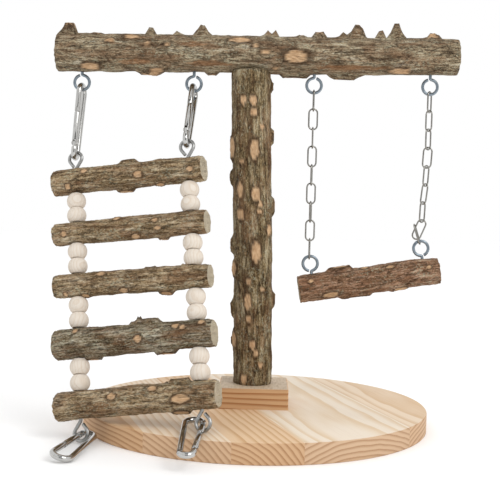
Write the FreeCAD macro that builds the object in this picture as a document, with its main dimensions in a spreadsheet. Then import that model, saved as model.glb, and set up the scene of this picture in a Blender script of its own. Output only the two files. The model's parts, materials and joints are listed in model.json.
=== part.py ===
"""Play stand for a parrot, in millimetres.

A round pine board carries a block, a post and a cross beam, all branches with the bark and the
cut knobs left on. A ladder of five rungs, two wires and sixteen beads hangs from the left half of the
beam on two snap hooks and leans out over the board. A swing perch hangs from the right half on two
nine-link chains. The origin is the middle of the board's underside, +Z is up, and -Y is the front.
"""
import FreeCAD
import Part
import Sketcher

import math
import os

Vector = FreeCAD.Vector
X_AXIS = Vector(1, 0, 0)
Y_AXIS = Vector(0, 1, 0)
Z_AXIS = Vector(0, 0, 1)

doc = FreeCAD.newDocument("play_stand")

# ---------------------------------------------------------------- driving dimensions
DIMENSIONS = (
    # board and block
    ("board_diameter", 250), ("board_thickness", 14), ("board_edge", 0.8),
    ("block_side", 50), ("block_height", 15), ("block_shift", 1.5), ("block_edge", 0.8),
    # post and beam
    ("post_diameter", 29), ("post_head_diameter", 28.4), ("post_height", 227.7),
    ("post_shift", 2.7), ("post_lean", 1.67),
    ("beam_diameter", 27), ("beam_length", 290), ("beam_tilt", 0.73), ("beam_left_reach", 140.5),
    ("beam_seat_depth", 1.5),
    # hidden fasteners
    ("post_screw_diameter", 4.5), ("post_screw_length", 60), ("screw_head_diameter", 9),
    ("block_screw_diameter", 3.5), ("block_screw_head_diameter", 7), ("block_screw_length", 23),
    ("block_screw_spacing", 34), ("screw_head_recess", 0.5), ("dowel_screw_diameter", 5), ("dowel_screw_length", 36),
    ("screw_clearance", 0.2),
    # screw eyes: the outer ones are placed from the beam's ends, the inner ones from the post
    ("eye_wire", 2.2), ("eye_diameter", 13), ("eye_neck", 1.5), ("eye_shank", 9),
    ("ladder_eye_inset", 17.65), ("ladder_eye_inner", 41.35),
    ("swing_eye_inner", 46.05), ("swing_eye_inset", 19.05),
    # snap hooks
    ("hook_length", 58), ("hook_wire", 4), ("hook_wide_end", 16), ("hook_narrow_end", 12.2),
    ("hook_nose_height", 35), ("hook_pin_height", 12), ("hook_tongue_thickness", 1.6),
    ("gate_pin_diameter", 1.4), ("gate_tab_thickness", 1.1), ("gate_clearance", 0.2),
    ("left_hook_lean", 10.3), ("right_hook_lean", 37.1), ("hook_side_lean", 2.8), ("hook_yaw", 14),
    # ladder
    ("ladder_side_lean", 5.8), ("ladder_rim_room", 15.8), ("ladder_wire", 2.4), ("wire_eye_width", 12), ("wire_eye_height", 14.5),
    ("wire_hole_clearance", 0.3), ("rung_overhang_left", 16), ("rung_overhang_right", 11),
    ("rung_1_left", 18.6), ("rung_2_left", 15.6), ("rung_3_left", 16.8), ("rung_4_left", 21),
    ("rung_5_left", 19.4),
    ("rung_1_right", 18.2), ("rung_2_right", 16.6), ("rung_3_right", 16.2), ("rung_4_right", 18.2),
    ("rung_5_right", 18.6),
    ("bead_diameter", 13.5), ("bead_face_diameter", 8.6), ("bead_bore_clearance", 0.35),
    ("bead_gap", 0.3),
    # swing
    ("link_length", 16.2), ("link_width", 7.4), ("link_wire", 1.2),
    ("perch_overhang", 10.5), ("perch_diameter", 20),
    # room between metal parts that hang in each other
    ("seat_gap", 0.3),
)

sheet = doc.addObject("Spreadsheet::Sheet", "dimensions")
for row, (alias, value) in enumerate(DIMENSIONS, start=1):
    sheet.set("A%d" % row, alias)
    sheet.set("B%d" % row, str(value))
    sheet.setAlias("B%d" % row, alias)
doc.recompute()


def size(alias):
    """Value of a driving dimension."""
    return float(sheet.get(alias))


def cosine(degrees):
    return math.cos(math.radians(degrees))


def sine(degrees):
    return math.sin(math.radians(degrees))


# ---------------------------------------------------------------- frames
class Frame:
    """Origin and three unit axes; at() carries local coordinates to the stand's own."""

    def __init__(self, origin, ex, ez):
        self.origin = origin
        self.ex = Vector(ex).normalize()
        self.ey = ez.cross(self.ex).normalize()
        self.ez = self.ex.cross(self.ey).normalize()

    def at(self, x, y, z):
        return self.origin + self.ex * x + self.ey * y + self.ez * z

    def turn(self, x, y, z):
        return self.ex * x + self.ey * y + self.ez * z

    def placement(self):
        o, a, b, c = self.origin, self.ex, self.ey, self.ez
        return FreeCAD.Placement(FreeCAD.Matrix(a.x, b.x, c.x, o.x, a.y, b.y, c.y, o.y, a.z, b.z, c.z, o.z))


# ---------------------------------------------------------------- solids
# how far four corners may be from a plane and still make one face
FLAT_ENOUGH = 1e-7


def ring_of_points(center, axis_a, axis_b, radii):
    """Points round a centre, one for each radius."""
    step = 360.0 / len(radii)
    return [center + axis_a * (r * cosine(step * i)) + axis_b * (r * sine(step * i)) for i, r in enumerate(radii)]


def closed_wire(points):
    return Part.makePolygon(points + points[:1])


def sewn_solid(faces):
    shell = Part.Shell(faces)
    shell.sewShape()
    solid = Part.Solid(shell)
    if solid.Volume < 0:
        solid.reverse()
    return solid


def flat_faces(a, b, c, d):
    """One flat face through four corners, or two where the corners don't lie in a plane."""
    normal = (b - a).cross(d - a).normalize()
    if abs((c - a).dot(normal)) < FLAT_ENOUGH:
        return [Part.Face(closed_wire([a, b, c, d]))]
    return [Part.Face(closed_wire([a, b, c])), Part.Face(closed_wire([a, c, d]))]


def ruled_solid(sections):
    """Solid of flat faces through closed polygons that have the same number of corners."""
    faces = [Part.Face(closed_wire(sections[0])), Part.Face(closed_wire(sections[-1]))]
    for first, second in zip(sections, sections[1:]):
        for i in range(len(first)):
            j = (i + 1) % len(first)
            faces += flat_faces(first[i], first[j], second[j], second[i])
    return sewn_solid(faces)


def prism(start, direction, radius, length, sides=8):
    """Straight rod of polygonal section."""
    across = direction.cross(Y_AXIS if abs(direction.y) < 0.9 else X_AXIS).normalize()
    other = direction.cross(across).normalize()
    section = ring_of_points(start, across, other, [radius] * sides)
    return Part.Face(closed_wire(section)).extrude(Vector(direction).normalize() * length)


def along(start, direction, normal, point):
    """Carries a point in a direction onto the plane through start."""
    return point + direction * ((start - point).dot(normal) / direction.dot(normal))


def bent_wire(points, radius, sides=8, closed=False):
    """Wire of polygonal section along a path of straight pieces, mitred at each bend."""
    count = len(points)
    last = count if closed else count - 1
    directions = [(points[(i + 1) % count] - points[i]).normalize() for i in range(last)]
    normals = []
    for i in range(count):
        before = directions[i - 1] if closed or i > 0 else directions[0]
        after = directions[i] if i < last else directions[-1]
        normals.append((before + after).normalize())
    turn = None
    for i in range(1, len(directions)):
        turn = directions[i - 1].cross(directions[i])
        if turn.Length > 1e-6:
            break
    across = turn.normalize()
    other = directions[0].cross(across).normalize()
    half = 180.0 / sides
    corners = [points[0] + across * (radius * cosine(2 * half * i + half))
               + other * (radius * sine(2 * half * i + half)) for i in range(sides)]
    sections = [[along(points[0], directions[0], normals[0], corner) for corner in corners]]
    for i in range(1, count):
        sections.append([along(points[i], directions[i - 1], normals[i], c) for c in sections[-1]])
    if closed:
        sections.append(sections[0])
    faces = []
    for first, second in zip(sections, sections[1:]):
        for i in range(sides):
            j = (i + 1) % sides
            faces.append(Part.Face(closed_wire([first[i], first[j], second[j], second[i]])))
    if not closed:
        faces.append(Part.Face(closed_wire(sections[0])))
        faces.append(Part.Face(closed_wire(sections[-1])))
    return sewn_solid(faces)


def arc(center_a, center_b, radius, start, end, chords):
    """Points (a, b) on an arc, angles in degrees from the a direction."""
    step = (end - start) / chords
    return [(center_a + radius * cosine(start + step * i), center_b + radius * sine(start + step * i))
            for i in range(chords + 1)]


# ---------------------------------------------------------------- branches
BRANCH_SIDES = 14
# share of the radius that the bark's waves take off, at most twice over
BARK_WAVE = 0.012
WAVE_ALONG, WAVE_ROUND, WAVE_TWIST = 5.1, 3.0, 2.3
# a knob starts inside the wood, at a share of the radius, a little wider than it shows
KNOB_ROOT, KNOB_SPREAD = 0.72, 1.15


def branch(length, start_diameter, end_diameter, waves, knobs, stations=7):
    """Branch along +X with its bark wavy round and along, and its cut knobs.

    A knob is (share of the length, angle from the front, half length, half width, height, taper)."""
    sections = []
    for i in range(stations):
        share = i / (stations - 1)
        middle = (start_diameter + (end_diameter - start_diameter) * share) / 2
        swell = 1 - BARK_WAVE * (1 + math.sin(waves + WAVE_ALONG * share))
        radii = [middle * swell * (1 - BARK_WAVE * (1 + math.sin(2 * waves + WAVE_ROUND * k + WAVE_TWIST * i)))
                 for k in range(BRANCH_SIDES)]
        sections.append(ring_of_points(Vector(length * share, 0, 0), Y_AXIS * -1, Z_AXIS, radii))
    solid = ruled_solid(sections)
    tops = []
    for share, angle, half_length, half_width, height, taper in knobs:
        radius = (start_diameter + (end_diameter - start_diameter) * share) / 2
        outward = Vector(0, -cosine(angle), sine(angle))
        across = X_AXIS.cross(outward)
        middle = Vector(length * share, 0, 0)
        low = [middle + outward * (radius * KNOB_ROOT) + (p - middle) for p in
               oval(middle, across, half_length * KNOB_SPREAD, half_width * KNOB_SPREAD)]
        high = [middle + outward * (radius + height) + (p - middle) for p in
                oval(middle, across, half_length * taper, half_width * taper)]
        tops.append(ruled_solid([low, high]))
    return solid.fuse(tops)


def oval(center, across, half_length, half_width, sides=8):
    """Eight points of an oval that lies along X."""
    step = 360.0 / sides
    return [center + X_AXIS * (half_length * cosine(step * (i + 0.5))) + across * (half_width * sine(step * (i + 0.5)))
            for i in range(sides)]


BEAM_KNOBS = (
    (0.034, 90, 6.0, 6.0, 9.0, 0.85), (0.238, 95, 5.0, 4.5, 6.0, 0.45), (0.305, 90, 4.0, 4.0, 2.5, 0.6),
    (0.365, 80, 6.0, 5.0, 7.0, 0.4), (0.530, 95, 6.0, 5.0, 5.0, 0.5), (0.655, 75, 5.5, 5.0, 4.5, 0.7),
    (0.710, 92, 5.0, 5.0, 4.0, 0.6), (0.752, 90, 9.0, 6.0, 10.0, 0.35), (0.809, 96, 5.0, 5.0, 6.0, 0.5),
    (0.852, 85, 7.0, 5.0, 10.0, 0.4), (0.938, 80, 5.5, 5.0, 2.7, 0.7),
    (0.137, 44, 4.0, 3.5, 1.4, 0.8), (0.190, 60, 4.5, 3.5, 1.4, 0.8), (0.459, 51, 7.0, 4.0, 1.6, 0.8),
    (0.598, -5, 8.0, 5.5, 2.0, 0.8), (0.856, -46, 7.0, 4.5, 1.6, 0.8),
    (0.170, 168, 5.0, 4.5, 2.0, 0.7), (0.420, 195, 6.0, 4.5, 2.5, 0.6), (0.640, 165, 5.0, 4.5, 2.0, 0.7),
    (0.900, 190, 5.0, 4.5, 2.0, 0.7),
)
# knobs under the beam, which start with a screw eye and a distance to the right of it
BEAM_UNDER_KNOBS = (
    ("ladder_left", 16.6, 272, 6.0, 5.0, 3.0, 0.7), ("ladder_right", -23.8, 268, 9.0, 6.0, 4.4, 0.6),
    ("swing_left", -14.8, 270, 8.0, 6.0, 3.0, 0.6), ("swing_left", 20.8, 272, 8.0, 6.0, 4.0, 0.6),
)
# a share of 0 is the foot of the post; angles grow from the front towards the left
POST_KNOBS = (
    (0.920, -6, 5.5, 3.5, 1.6, 0.8), (0.925, -95, 8.0, 4.5, 2.2, 0.6), (0.790, 68, 7.0, 4.0, 1.8, 0.75),
    (0.765, -7, 7.0, 4.0, 1.8, 0.8), (0.785, -92, 9.0, 4.5, 2.2, 0.6), (0.680, 92, 10.0, 4.5, 2.2, 0.6),
    (0.630, 31, 5.0, 3.0, 1.5, 0.8), (0.615, -9, 6.5, 4.0, 1.8, 0.8), (0.500, -50, 4.5, 3.5, 1.6, 0.8),
    (0.430, -8, 9.0, 4.5, 2.0, 0.8), (0.380, 62, 5.5, 3.5, 1.6, 0.8), (0.445, 95, 5.0, 4.0, 2.0, 0.7),
    (0.270, 12, 7.5, 4.0, 1.8, 0.8), (0.265, -92, 5.0, 4.0, 2.0, 0.7), (0.150, 62, 6.5, 4.0, 1.8, 0.75),
    (0.130, 0, 4.5, 3.5, 1.6, 0.8), (0.560, 178, 7.0, 4.5, 2.0, 0.7), (0.300, 160, 6.0, 4.0, 2.0, 0.7),
    (0.850, 200, 6.0, 4.0, 2.0, 0.7),
)
RUNG_KNOBS = (
    ((0.47, 90, 6.0, 4.5, 2.5, 0.6), (0.50, 270, 6.0, 4.5, 2.5, 0.6), (0.56, 12, 5.0, 3.5, 1.4, 0.8),
     (0.72, -53, 4.0, 3.5, 1.2, 0.8)),
    ((0.40, 85, 4.5, 3.5, 1.5, 0.7), (0.66, 40, 4.0, 3.5, 1.2, 0.8), (0.52, -26, 5.0, 3.5, 1.3, 0.8),
     (0.75, -80, 4.5, 3.5, 1.5, 0.7)),
    ((0.30, 85, 5.0, 3.5, 1.8, 0.7), (0.61, 85, 4.5, 3.5, 1.5, 0.7), (0.43, -20, 5.0, 3.5, 1.2, 0.8),
     (0.72, -90, 5.0, 4.0, 2.2, 0.6)),
    ((0.59, 90, 8.0, 5.0, 3.5, 0.6), (0.34, -90, 6.0, 4.0, 2.5, 0.6), (0.72, -90, 7.0, 5.0, 3.5, 0.6),
     (0.76, 38, 4.5, 3.5, 1.3, 0.8)),
    ((0.29, 30, 5.0, 3.5, 1.3, 0.8), (0.57, 50, 4.5, 3.5, 1.3, 0.8), (0.72, 92, 6.0, 5.0, 3.0, 0.6),
     (0.72, -90, 6.0, 4.0, 2.0, 0.6)),
)
PERCH_KNOBS = (
    (0.29, 90, 6.0, 4.5, 3.0, 0.6), (0.41, -90, 8.0, 5.0, 1.6, 0.7), (0.46, 85, 4.5, 3.5, 1.5, 0.7),
    (0.64, 88, 4.5, 3.5, 1.2, 0.8), (0.22, -28, 6.0, 3.5, 1.2, 0.8), (0.71, -28, 5.0, 3.5, 1.2, 0.8),
    (0.55, 170, 5.0, 4.0, 1.6, 0.7),
)

# ---------------------------------------------------------------- places that the pieces share
BOARD_TOP = size("board_thickness")
BLOCK_TOP = BOARD_TOP + size("block_height")
POST_TOP = BLOCK_TOP + size("post_height")
POST_FOOT = Vector(-size("post_shift"), 0, BLOCK_TOP)
POST_HEAD = Vector(POST_FOOT.x - size("post_height") * math.tan(math.radians(size("post_lean"))), 0, POST_TOP)
POST_DIRECTION = (POST_HEAD - POST_FOOT).normalize()

BEAM_RADIUS = size("beam_diameter") / 2
BEAM_DIRECTION = Vector(cosine(size("beam_tilt")), 0, sine(size("beam_tilt")))
BEAM_OVER_POST = POST_HEAD + Z_AXIS * (BEAM_RADIUS - size("beam_seat_depth"))
BEAM_FRAME = Frame(BEAM_OVER_POST - BEAM_DIRECTION * size("beam_left_reach"), BEAM_DIRECTION, Z_AXIS)

EYE_WIRE = size("eye_wire") / 2
EYE_RING = size("eye_diameter") / 2 - EYE_WIRE
EYE_DROP = BEAM_RADIUS + size("eye_neck") + size("eye_diameter") / 2
GAP = size("seat_gap")


# distances of the screw eyes along the beam from its left end
EYE_PLACES = {
    "ladder_left": size("ladder_eye_inset"),
    "ladder_right": size("beam_left_reach") - size("ladder_eye_inner"),
    "swing_left": size("beam_left_reach") + size("swing_eye_inner"),
    "swing_right": size("beam_length") - size("swing_eye_inset"),
}
# middles of the rings
BEAM_EYES = {name: BEAM_FRAME.origin + BEAM_DIRECTION * place - Z_AXIS * EYE_DROP
             for name, place in EYE_PLACES.items()}


def eye_seat(name):
    """Middle of the wire at the lowest point of a beam eye, where things hang."""
    return BEAM_EYES[name] - Z_AXIS * EYE_RING


# ---------------------------------------------------------------- snap hooks: local plan
HOOK_WIRE = size("hook_wire") / 2
WIDE_RADIUS = size("hook_wide_end") / 2 - HOOK_WIRE
NARROW_RADIUS = size("hook_narrow_end") / 2 - HOOK_WIRE
WIDE_CENTER = size("hook_length") - HOOK_WIRE - WIDE_RADIUS
NARROW_CENTER = HOOK_WIRE + NARROW_RADIUS
LADDER_WIRE = size("ladder_wire") / 2
WIDE_SEAT = size("hook_length") - size("hook_wire") - EYE_WIRE - GAP
NARROW_SEAT = size("hook_wire") + LADDER_WIRE + 2 * GAP


def hook_side(height):
    """Distance from the hook's middle line to the middle of its side rods."""
    share = (height - NARROW_CENTER) / (WIDE_CENTER - NARROW_CENTER)
    return NARROW_RADIUS + (WIDE_RADIUS - NARROW_RADIUS) * share


def leaning(lean, side_lean):
    """Unit vector down, forward and to the side."""
    return Vector(sine(side_lean), -sine(lean) * cosine(side_lean), -cosine(lean) * cosine(side_lean))


def top_hook_frame(eye, lean):
    """Frame of a hook that hangs in a beam eye: x across towards the gate, y along, z normal."""
    down = leaning(lean, -size("hook_side_lean"))
    seat = eye_seat(eye)
    origin = seat + down * WIDE_SEAT
    front = Vector(-sine(size("hook_yaw")), -cosine(size("hook_yaw")), 0)
    across = front - down * front.dot(down)
    return Frame(origin, across, across.cross(down * -1))


TOP_HOOKS = {
    "left": top_hook_frame("ladder_left", size("left_hook_lean")),
    "right": top_hook_frame("ladder_right", size("right_hook_lean")),
}

# ---------------------------------------------------------------- ladder layout
WIRE_TOPS = {side: frame.at(0, NARROW_SEAT, 0) for side, frame in TOP_HOOKS.items()}
EYE_ARC = size("wire_eye_width") / 2 - LADDER_WIRE
EYE_REACH = size("wire_eye_height") - LADDER_WIRE
RUNG_COUNT = 5
RUNG_RADII = {side: [size("rung_%d_%s" % (i + 1, side)) / 2 for i in range(RUNG_COUNT)] for side in ("left", "right")}
BEADS_BETWEEN = 2
BEAD_COUNT = BEADS_BETWEEN * (RUNG_COUNT - 1)
# widths of a side's rungs and all the room beside them on a wire, apart from the beads themselves
RUNG_WIDTHS = {side: 2 * sum(radii) for side, radii in RUNG_RADII.items()}
WIRE_REST = 2 * EYE_REACH + (BEAD_COUNT + RUNG_COUNT + 1) * size("bead_gap")
RIGHT_EYE_DROP = WIRE_TOPS["right"].z - (BOARD_TOP + LADDER_WIRE + GAP)


def rim_room(lean):
    """Room between the board's rim and the lower end of the left wire, with the right one on the board."""
    down = leaning(lean, size("ladder_side_lean"))
    length = RIGHT_EYE_DROP / -down.z + RUNG_WIDTHS["left"] - RUNG_WIDTHS["right"]
    end = WIRE_TOPS["left"] + down * length
    return math.hypot(end.x, end.y) - size("board_diameter") / 2


def solved(function, target, low, high):
    """Where a growing function meets a target."""
    for _ in range(50):
        middle = (low + high) / 2
        low, high = (middle, high) if function(middle) < target else (low, middle)
    return low


LADDER_LEAN = solved(rim_room, size("ladder_rim_room"), 0, 60)
LADDER_DOWN = leaning(LADDER_LEAN, size("ladder_side_lean"))
LADDER_ACROSS = (WIRE_TOPS["right"] - WIRE_TOPS["left"]).normalize()
# the beads fill what the rungs leave of the wires
BEAD_HEIGHT = (RIGHT_EYE_DROP / -LADDER_DOWN.z - WIRE_REST - RUNG_WIDTHS["right"]) / BEAD_COUNT
WIRE_LENGTHS = {side: WIRE_REST + RUNG_WIDTHS[side] + BEAD_COUNT * BEAD_HEIGHT for side in RUNG_WIDTHS}
BEAD_SPACE = BEADS_BETWEEN * BEAD_HEIGHT + (BEADS_BETWEEN + 1) * size("bead_gap")


def rung_offsets(side):
    """Distances of the rungs' middles down a wire from its top."""
    radii = RUNG_RADII[side]
    offsets = [EYE_REACH + size("bead_gap") + radii[0]]
    for above, below in zip(radii, radii[1:]):
        offsets.append(offsets[-1] + above + BEAD_SPACE + below)
    return offsets


RUNG_OFFSETS = {side: rung_offsets(side) for side in RUNG_RADII}
WIRE_ENDS = {side: WIRE_TOPS[side] + LADDER_DOWN * WIRE_LENGTHS[side] for side in RUNG_RADII}


def wire_frame(side):
    """Frame of a ladder wire: x across, z up along the wire, origin at its top."""
    across = LADDER_ACROSS - LADDER_DOWN * LADDER_ACROSS.dot(LADDER_DOWN)
    return Frame(WIRE_TOPS[side], across, LADDER_DOWN * -1)


WIRE_FRAMES = {side: wire_frame(side) for side in ("left", "right")}


def on_wire(side, distance):
    return WIRE_TOPS[side] + LADDER_DOWN * distance


# ---------------------------------------------------------------- lower hooks
# where the lower eyes are gripped: degrees round the eye from its lowest point
LEFT_GRIP, RIGHT_GRIP = 68.0, -100.0
# heading of the hooks from the gripped wire, degrees to the right of straight ahead, and their roll
LEFT_HEADING, RIGHT_HEADING = -11.0, -2.0
LEFT_ROLL = 16.0
# where the gripped wires lie inside the hooks
LEFT_GRIP_HEIGHT, RIGHT_GRIP_HEIGHT = NARROW_SEAT + 1.3, WIDE_SEAT - 1.6
RIGHT_GRIP_SIDE = 1.2


def eye_grip(side, angle):
    """Middle of the wire of a lower eye at an angle round from its lowest point."""
    frame = WIRE_FRAMES[side]
    center = frame.turn(0, 0, 1) * EYE_ARC
    return WIRE_ENDS[side] + center + frame.turn(sine(angle), 0, -cosine(angle)) * EYE_ARC


def lying_hook_frame(grip, grip_side, grip_height, away, heading, dip, roll):
    """Frame of a hook that points forward from the wire that it grips; away is 1 with its wide end ahead."""
    forward = Vector(sine(heading) * cosine(dip), -cosine(heading) * cosine(dip), -sine(dip))
    level = forward.cross(Z_AXIS).normalize() * away
    across = level * cosine(roll) - forward.cross(level) * sine(roll)
    direction = forward * away
    return Frame(grip - direction * grip_height - across * grip_side, across, across.cross(direction))


def dip_to_table(grip):
    """Dip of the left hook, whose wide end rests on the table."""
    reach = WIDE_CENTER - LEFT_GRIP_HEIGHT
    dip = 0.0
    for _ in range(6):
        tilt = math.hypot(sine(dip), sine(LEFT_ROLL) * cosine(dip))
        drop = grip.z - (HOOK_WIRE + GAP + WIDE_RADIUS * tilt)
        dip = math.degrees(math.asin(drop / reach))
    return dip


def dip_over_rim(grip):
    """Dip of the right hook, whose rods rest on the edge of the board, or its end on the board's top."""
    rim = size("board_diameter") / 2 - size("board_edge")
    ahead = Vector(sine(RIGHT_HEADING), -cosine(RIGHT_HEADING), 0)
    inward = grip.x * ahead.x + grip.y * ahead.y
    reach = -inward + math.sqrt(inward ** 2 + rim ** 2 - grip.x ** 2 - grip.y ** 2)
    reach = min(reach, RIGHT_GRIP_HEIGHT - NARROW_CENTER)
    return math.degrees(math.atan2(grip.z - (BOARD_TOP + HOOK_WIRE + GAP), reach))


GRIPS = {"left": eye_grip("left", LEFT_GRIP), "right": eye_grip("right", RIGHT_GRIP)}
LOWER_HOOKS = {
    "left": lying_hook_frame(GRIPS["left"], 0, LEFT_GRIP_HEIGHT, 1, LEFT_HEADING,
                             dip_to_table(GRIPS["left"]), LEFT_ROLL),
    "right": lying_hook_frame(GRIPS["right"], RIGHT_GRIP_SIDE, RIGHT_GRIP_HEIGHT, -1, RIGHT_HEADING,
                              dip_over_rim(GRIPS["right"]), 0),
}

# ---------------------------------------------------------------- document helpers
PIECES = []


def piece(name, shape):
    """Adds a piece whose shape has no ready-made feature of its own."""
    feature = doc.addObject("Part::Feature", name)
    feature.Label = name
    feature.Shape = shape
    PIECES.append(feature)
    return feature


def plane_of(body, role):
    return next(item for item in body.Origin.OriginFeatures if item.Role == role)


def flat_sketch(body, name, height=None):
    """Sketch on the body's level plane, raised to a height given as an expression."""
    sketch = body.newObject("Sketcher::SketchObject", name)
    sketch.AttachmentSupport = [(plane_of(body, "XY_Plane"), "")]
    sketch.MapMode = "FlatFace"
    if height:
        sketch.setExpression("AttachmentOffset.Base.z", height)
    return sketch


def circle_sketch(body, name, diameter, x=None, height=None):
    """Circle of a diameter, and at a place along x, given as expressions."""
    sketch = flat_sketch(body, name, height)
    index = sketch.addGeometry(Part.Circle(Vector(0, 0, 0), Z_AXIS, 1), False)
    rule = sketch.addConstraint(Sketcher.Constraint("Diameter", index, 2))
    sketch.setExpression("Constraints[%d]" % rule, diameter)
    sketch.addConstraint(Sketcher.Constraint("PointOnObject", index, 3, -1))
    if x:
        place = sketch.addConstraint(Sketcher.Constraint("DistanceX", -1, 1, index, 3, 1))
        sketch.setExpression("Constraints[%d]" % place, x)
    else:
        sketch.addConstraint(Sketcher.Constraint("PointOnObject", index, 3, -2))
    return sketch


def pad(body, name, sketch, length):
    feature = body.newObject("PartDesign::Pad", name)
    feature.Profile = sketch
    feature.setExpression("Length", length)
    return feature


def rims(shape, heights):
    """Names of the edges that lie level at one of the heights."""
    names = []
    for i, edge in enumerate(shape.Edges, start=1):
        box = edge.BoundBox
        if box.ZLength < 1e-6 and any(abs(box.ZMin - height) < 1e-6 for height in heights):
            names.append("Edge%d" % i)
    return names


# ---------------------------------------------------------------- hidden fasteners
POST_SCREW_FOOT = Vector(POST_FOOT.x, 0, size("screw_head_recess"))
BLOCK_SCREW_FEET = [Vector(POST_FOOT.x + side * size("block_screw_spacing") / 2, 0, size("screw_head_recess"))
                    for side in (-1, 1)]
CLEARANCE = size("screw_clearance")
SCREW_SIDES = 12


def countersunk(foot, diameter, head, length, grow):
    """Countersunk screw that points up from its foot; grow widens it into its own hole."""
    head_height = (head - diameter) / 2
    low = ring_of_points(foot - Z_AXIS * grow, X_AXIS, Y_AXIS, [head / 2 + grow] * SCREW_SIDES)
    high = ring_of_points(foot + Z_AXIS * (head_height + grow), X_AXIS, Y_AXIS, [diameter / 2 + grow] * SCREW_SIDES)
    shank = prism(foot, Z_AXIS, diameter / 2 + grow, length + grow, SCREW_SIDES)
    return ruled_solid([low, high]).fuse(shank)


def post_screw(grow=0.0):
    return countersunk(POST_SCREW_FOOT, size("post_screw_diameter"), size("screw_head_diameter"),
                       size("post_screw_length"), grow)


def block_screws(grow=0.0):
    return [countersunk(foot, size("block_screw_diameter"), size("block_screw_head_diameter"),
                        size("block_screw_length"), grow) for foot in BLOCK_SCREW_FEET]


def dowel_screw(grow=0.0):
    """Double-ended screw that joins the post's head to the beam."""
    half = size("dowel_screw_length") / 2
    return prism(POST_HEAD - Z_AXIS * (half + grow), Z_AXIS, size("dowel_screw_diameter") / 2 + grow,
                 2 * (half + grow), SCREW_SIDES)


def head_recess(foot, head, grow):
    """Room below a screw's head, down to the board's underside."""
    return prism(Vector(foot.x, foot.y, -1), Z_AXIS, head / 2 + grow, foot.z + 1, SCREW_SIDES)


# ---------------------------------------------------------------- board and block
def make_board():
    body = doc.addObject("PartDesign::Body", "board_blank")
    disc = pad(body, "board_pad", circle_sketch(body, "board_outline", "dimensions.board_diameter"),
               "dimensions.board_thickness")
    doc.recompute()
    edge = body.newObject("PartDesign::Chamfer", "board_rims")
    edge.Base = (disc, rims(disc.Shape, (0, BOARD_TOP)))
    edge.setExpression("Size", "dimensions.board_edge")
    return drilled("base_disc", body, [
        post_screw(CLEARANCE), head_recess(POST_SCREW_FOOT, size("screw_head_diameter"), CLEARANCE),
        *block_screws(CLEARANCE),
        *[head_recess(foot, size("block_screw_head_diameter"), CLEARANCE) for foot in BLOCK_SCREW_FEET]])


def make_block():
    block = doc.addObject("Part::Box", "block_blank")
    block.setExpression("Length", "dimensions.block_side")
    block.setExpression("Width", "dimensions.block_side")
    block.setExpression("Height", "dimensions.block_height")
    block.setExpression("Placement.Base.x", "-dimensions.block_side / 2 - dimensions.block_shift")
    block.setExpression("Placement.Base.y", "-dimensions.block_side / 2")
    block.setExpression("Placement.Base.z", "dimensions.board_thickness")
    doc.recompute()
    edge = doc.addObject("Part::Chamfer", "block_edges")
    edge.Base = block
    width = size("block_edge")
    upright = [i for i, e in enumerate(block.Shape.Edges, start=1) if e.BoundBox.ZLength > 1]
    top = [int(name[4:]) for name in rims(block.Shape, (BLOCK_TOP,))]
    edge.Edges = [(i, width, width) for i in upright + top]
    return drilled("base_block", edge, [post_screw(CLEARANCE), *block_screws(CLEARANCE)])


def drilled(name, blank, holes):
    """Cuts holes into a feature and names the result."""
    tools = doc.addObject("Part::Feature", name + "_holes")
    tools.Shape = Part.makeCompound(holes)
    cut = doc.addObject("Part::Cut", name)
    cut.Label = name
    cut.Base = blank
    cut.Tool = tools
    PIECES.append(cut)
    return cut


# ---------------------------------------------------------------- post, beam and their screw eyes
def slab(low, high):
    """Large level slab between two heights."""
    reach = size("beam_length") + size("board_diameter")
    return Part.makeBox(2 * reach, 2 * reach, high - low, Vector(-reach, -reach, low))


def make_post():
    length = (POST_HEAD - POST_FOOT).Length
    spare = size("post_diameter") / 4
    frame = Frame(POST_FOOT - POST_DIRECTION * spare, POST_DIRECTION, X_AXIS * -1)
    bark = branch(length + 2 * spare, size("post_diameter"), size("post_head_diameter"), 0.8, POST_KNOBS, 8)
    bark.Placement = frame.placement()
    trimmed = bark.common(slab(BLOCK_TOP, POST_TOP))
    return piece("post", trimmed.cut([post_screw(CLEARANCE), dowel_screw(CLEARANCE)]))


# the ring turns in steps, from one step past its neck to a gap before it
EYE_CHORD, EYE_CHORDS = 22.5, 13


def screw_eye(center, up, across, shank_depth, start_side=1):
    """Screw eye: a ring with a gap beside its shank; the shank starts at the ring's top."""
    ring = arc(0, 0, EYE_RING, 90 - EYE_CHORD * start_side, 90 - EYE_CHORD * (EYE_CHORDS + 1) * start_side, EYE_CHORDS)
    neck = EYE_RING + EYE_WIRE * 1.2
    top = size("eye_diameter") / 2 + size("eye_neck") + shank_depth
    plan = [(0, top), (0, neck)] + ring
    return bent_wire([center + across * a + up * b for a, b in plan], EYE_WIRE)


def eye_hole(center, up, depth):
    start = center + up * (size("eye_diameter") / 2)
    return prism(start, up, EYE_WIRE + CLEARANCE, size("eye_neck") + depth + CLEARANCE)


# room that the flat under the beam leaves round the post
SEAT_MARGIN = 1.5


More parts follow.
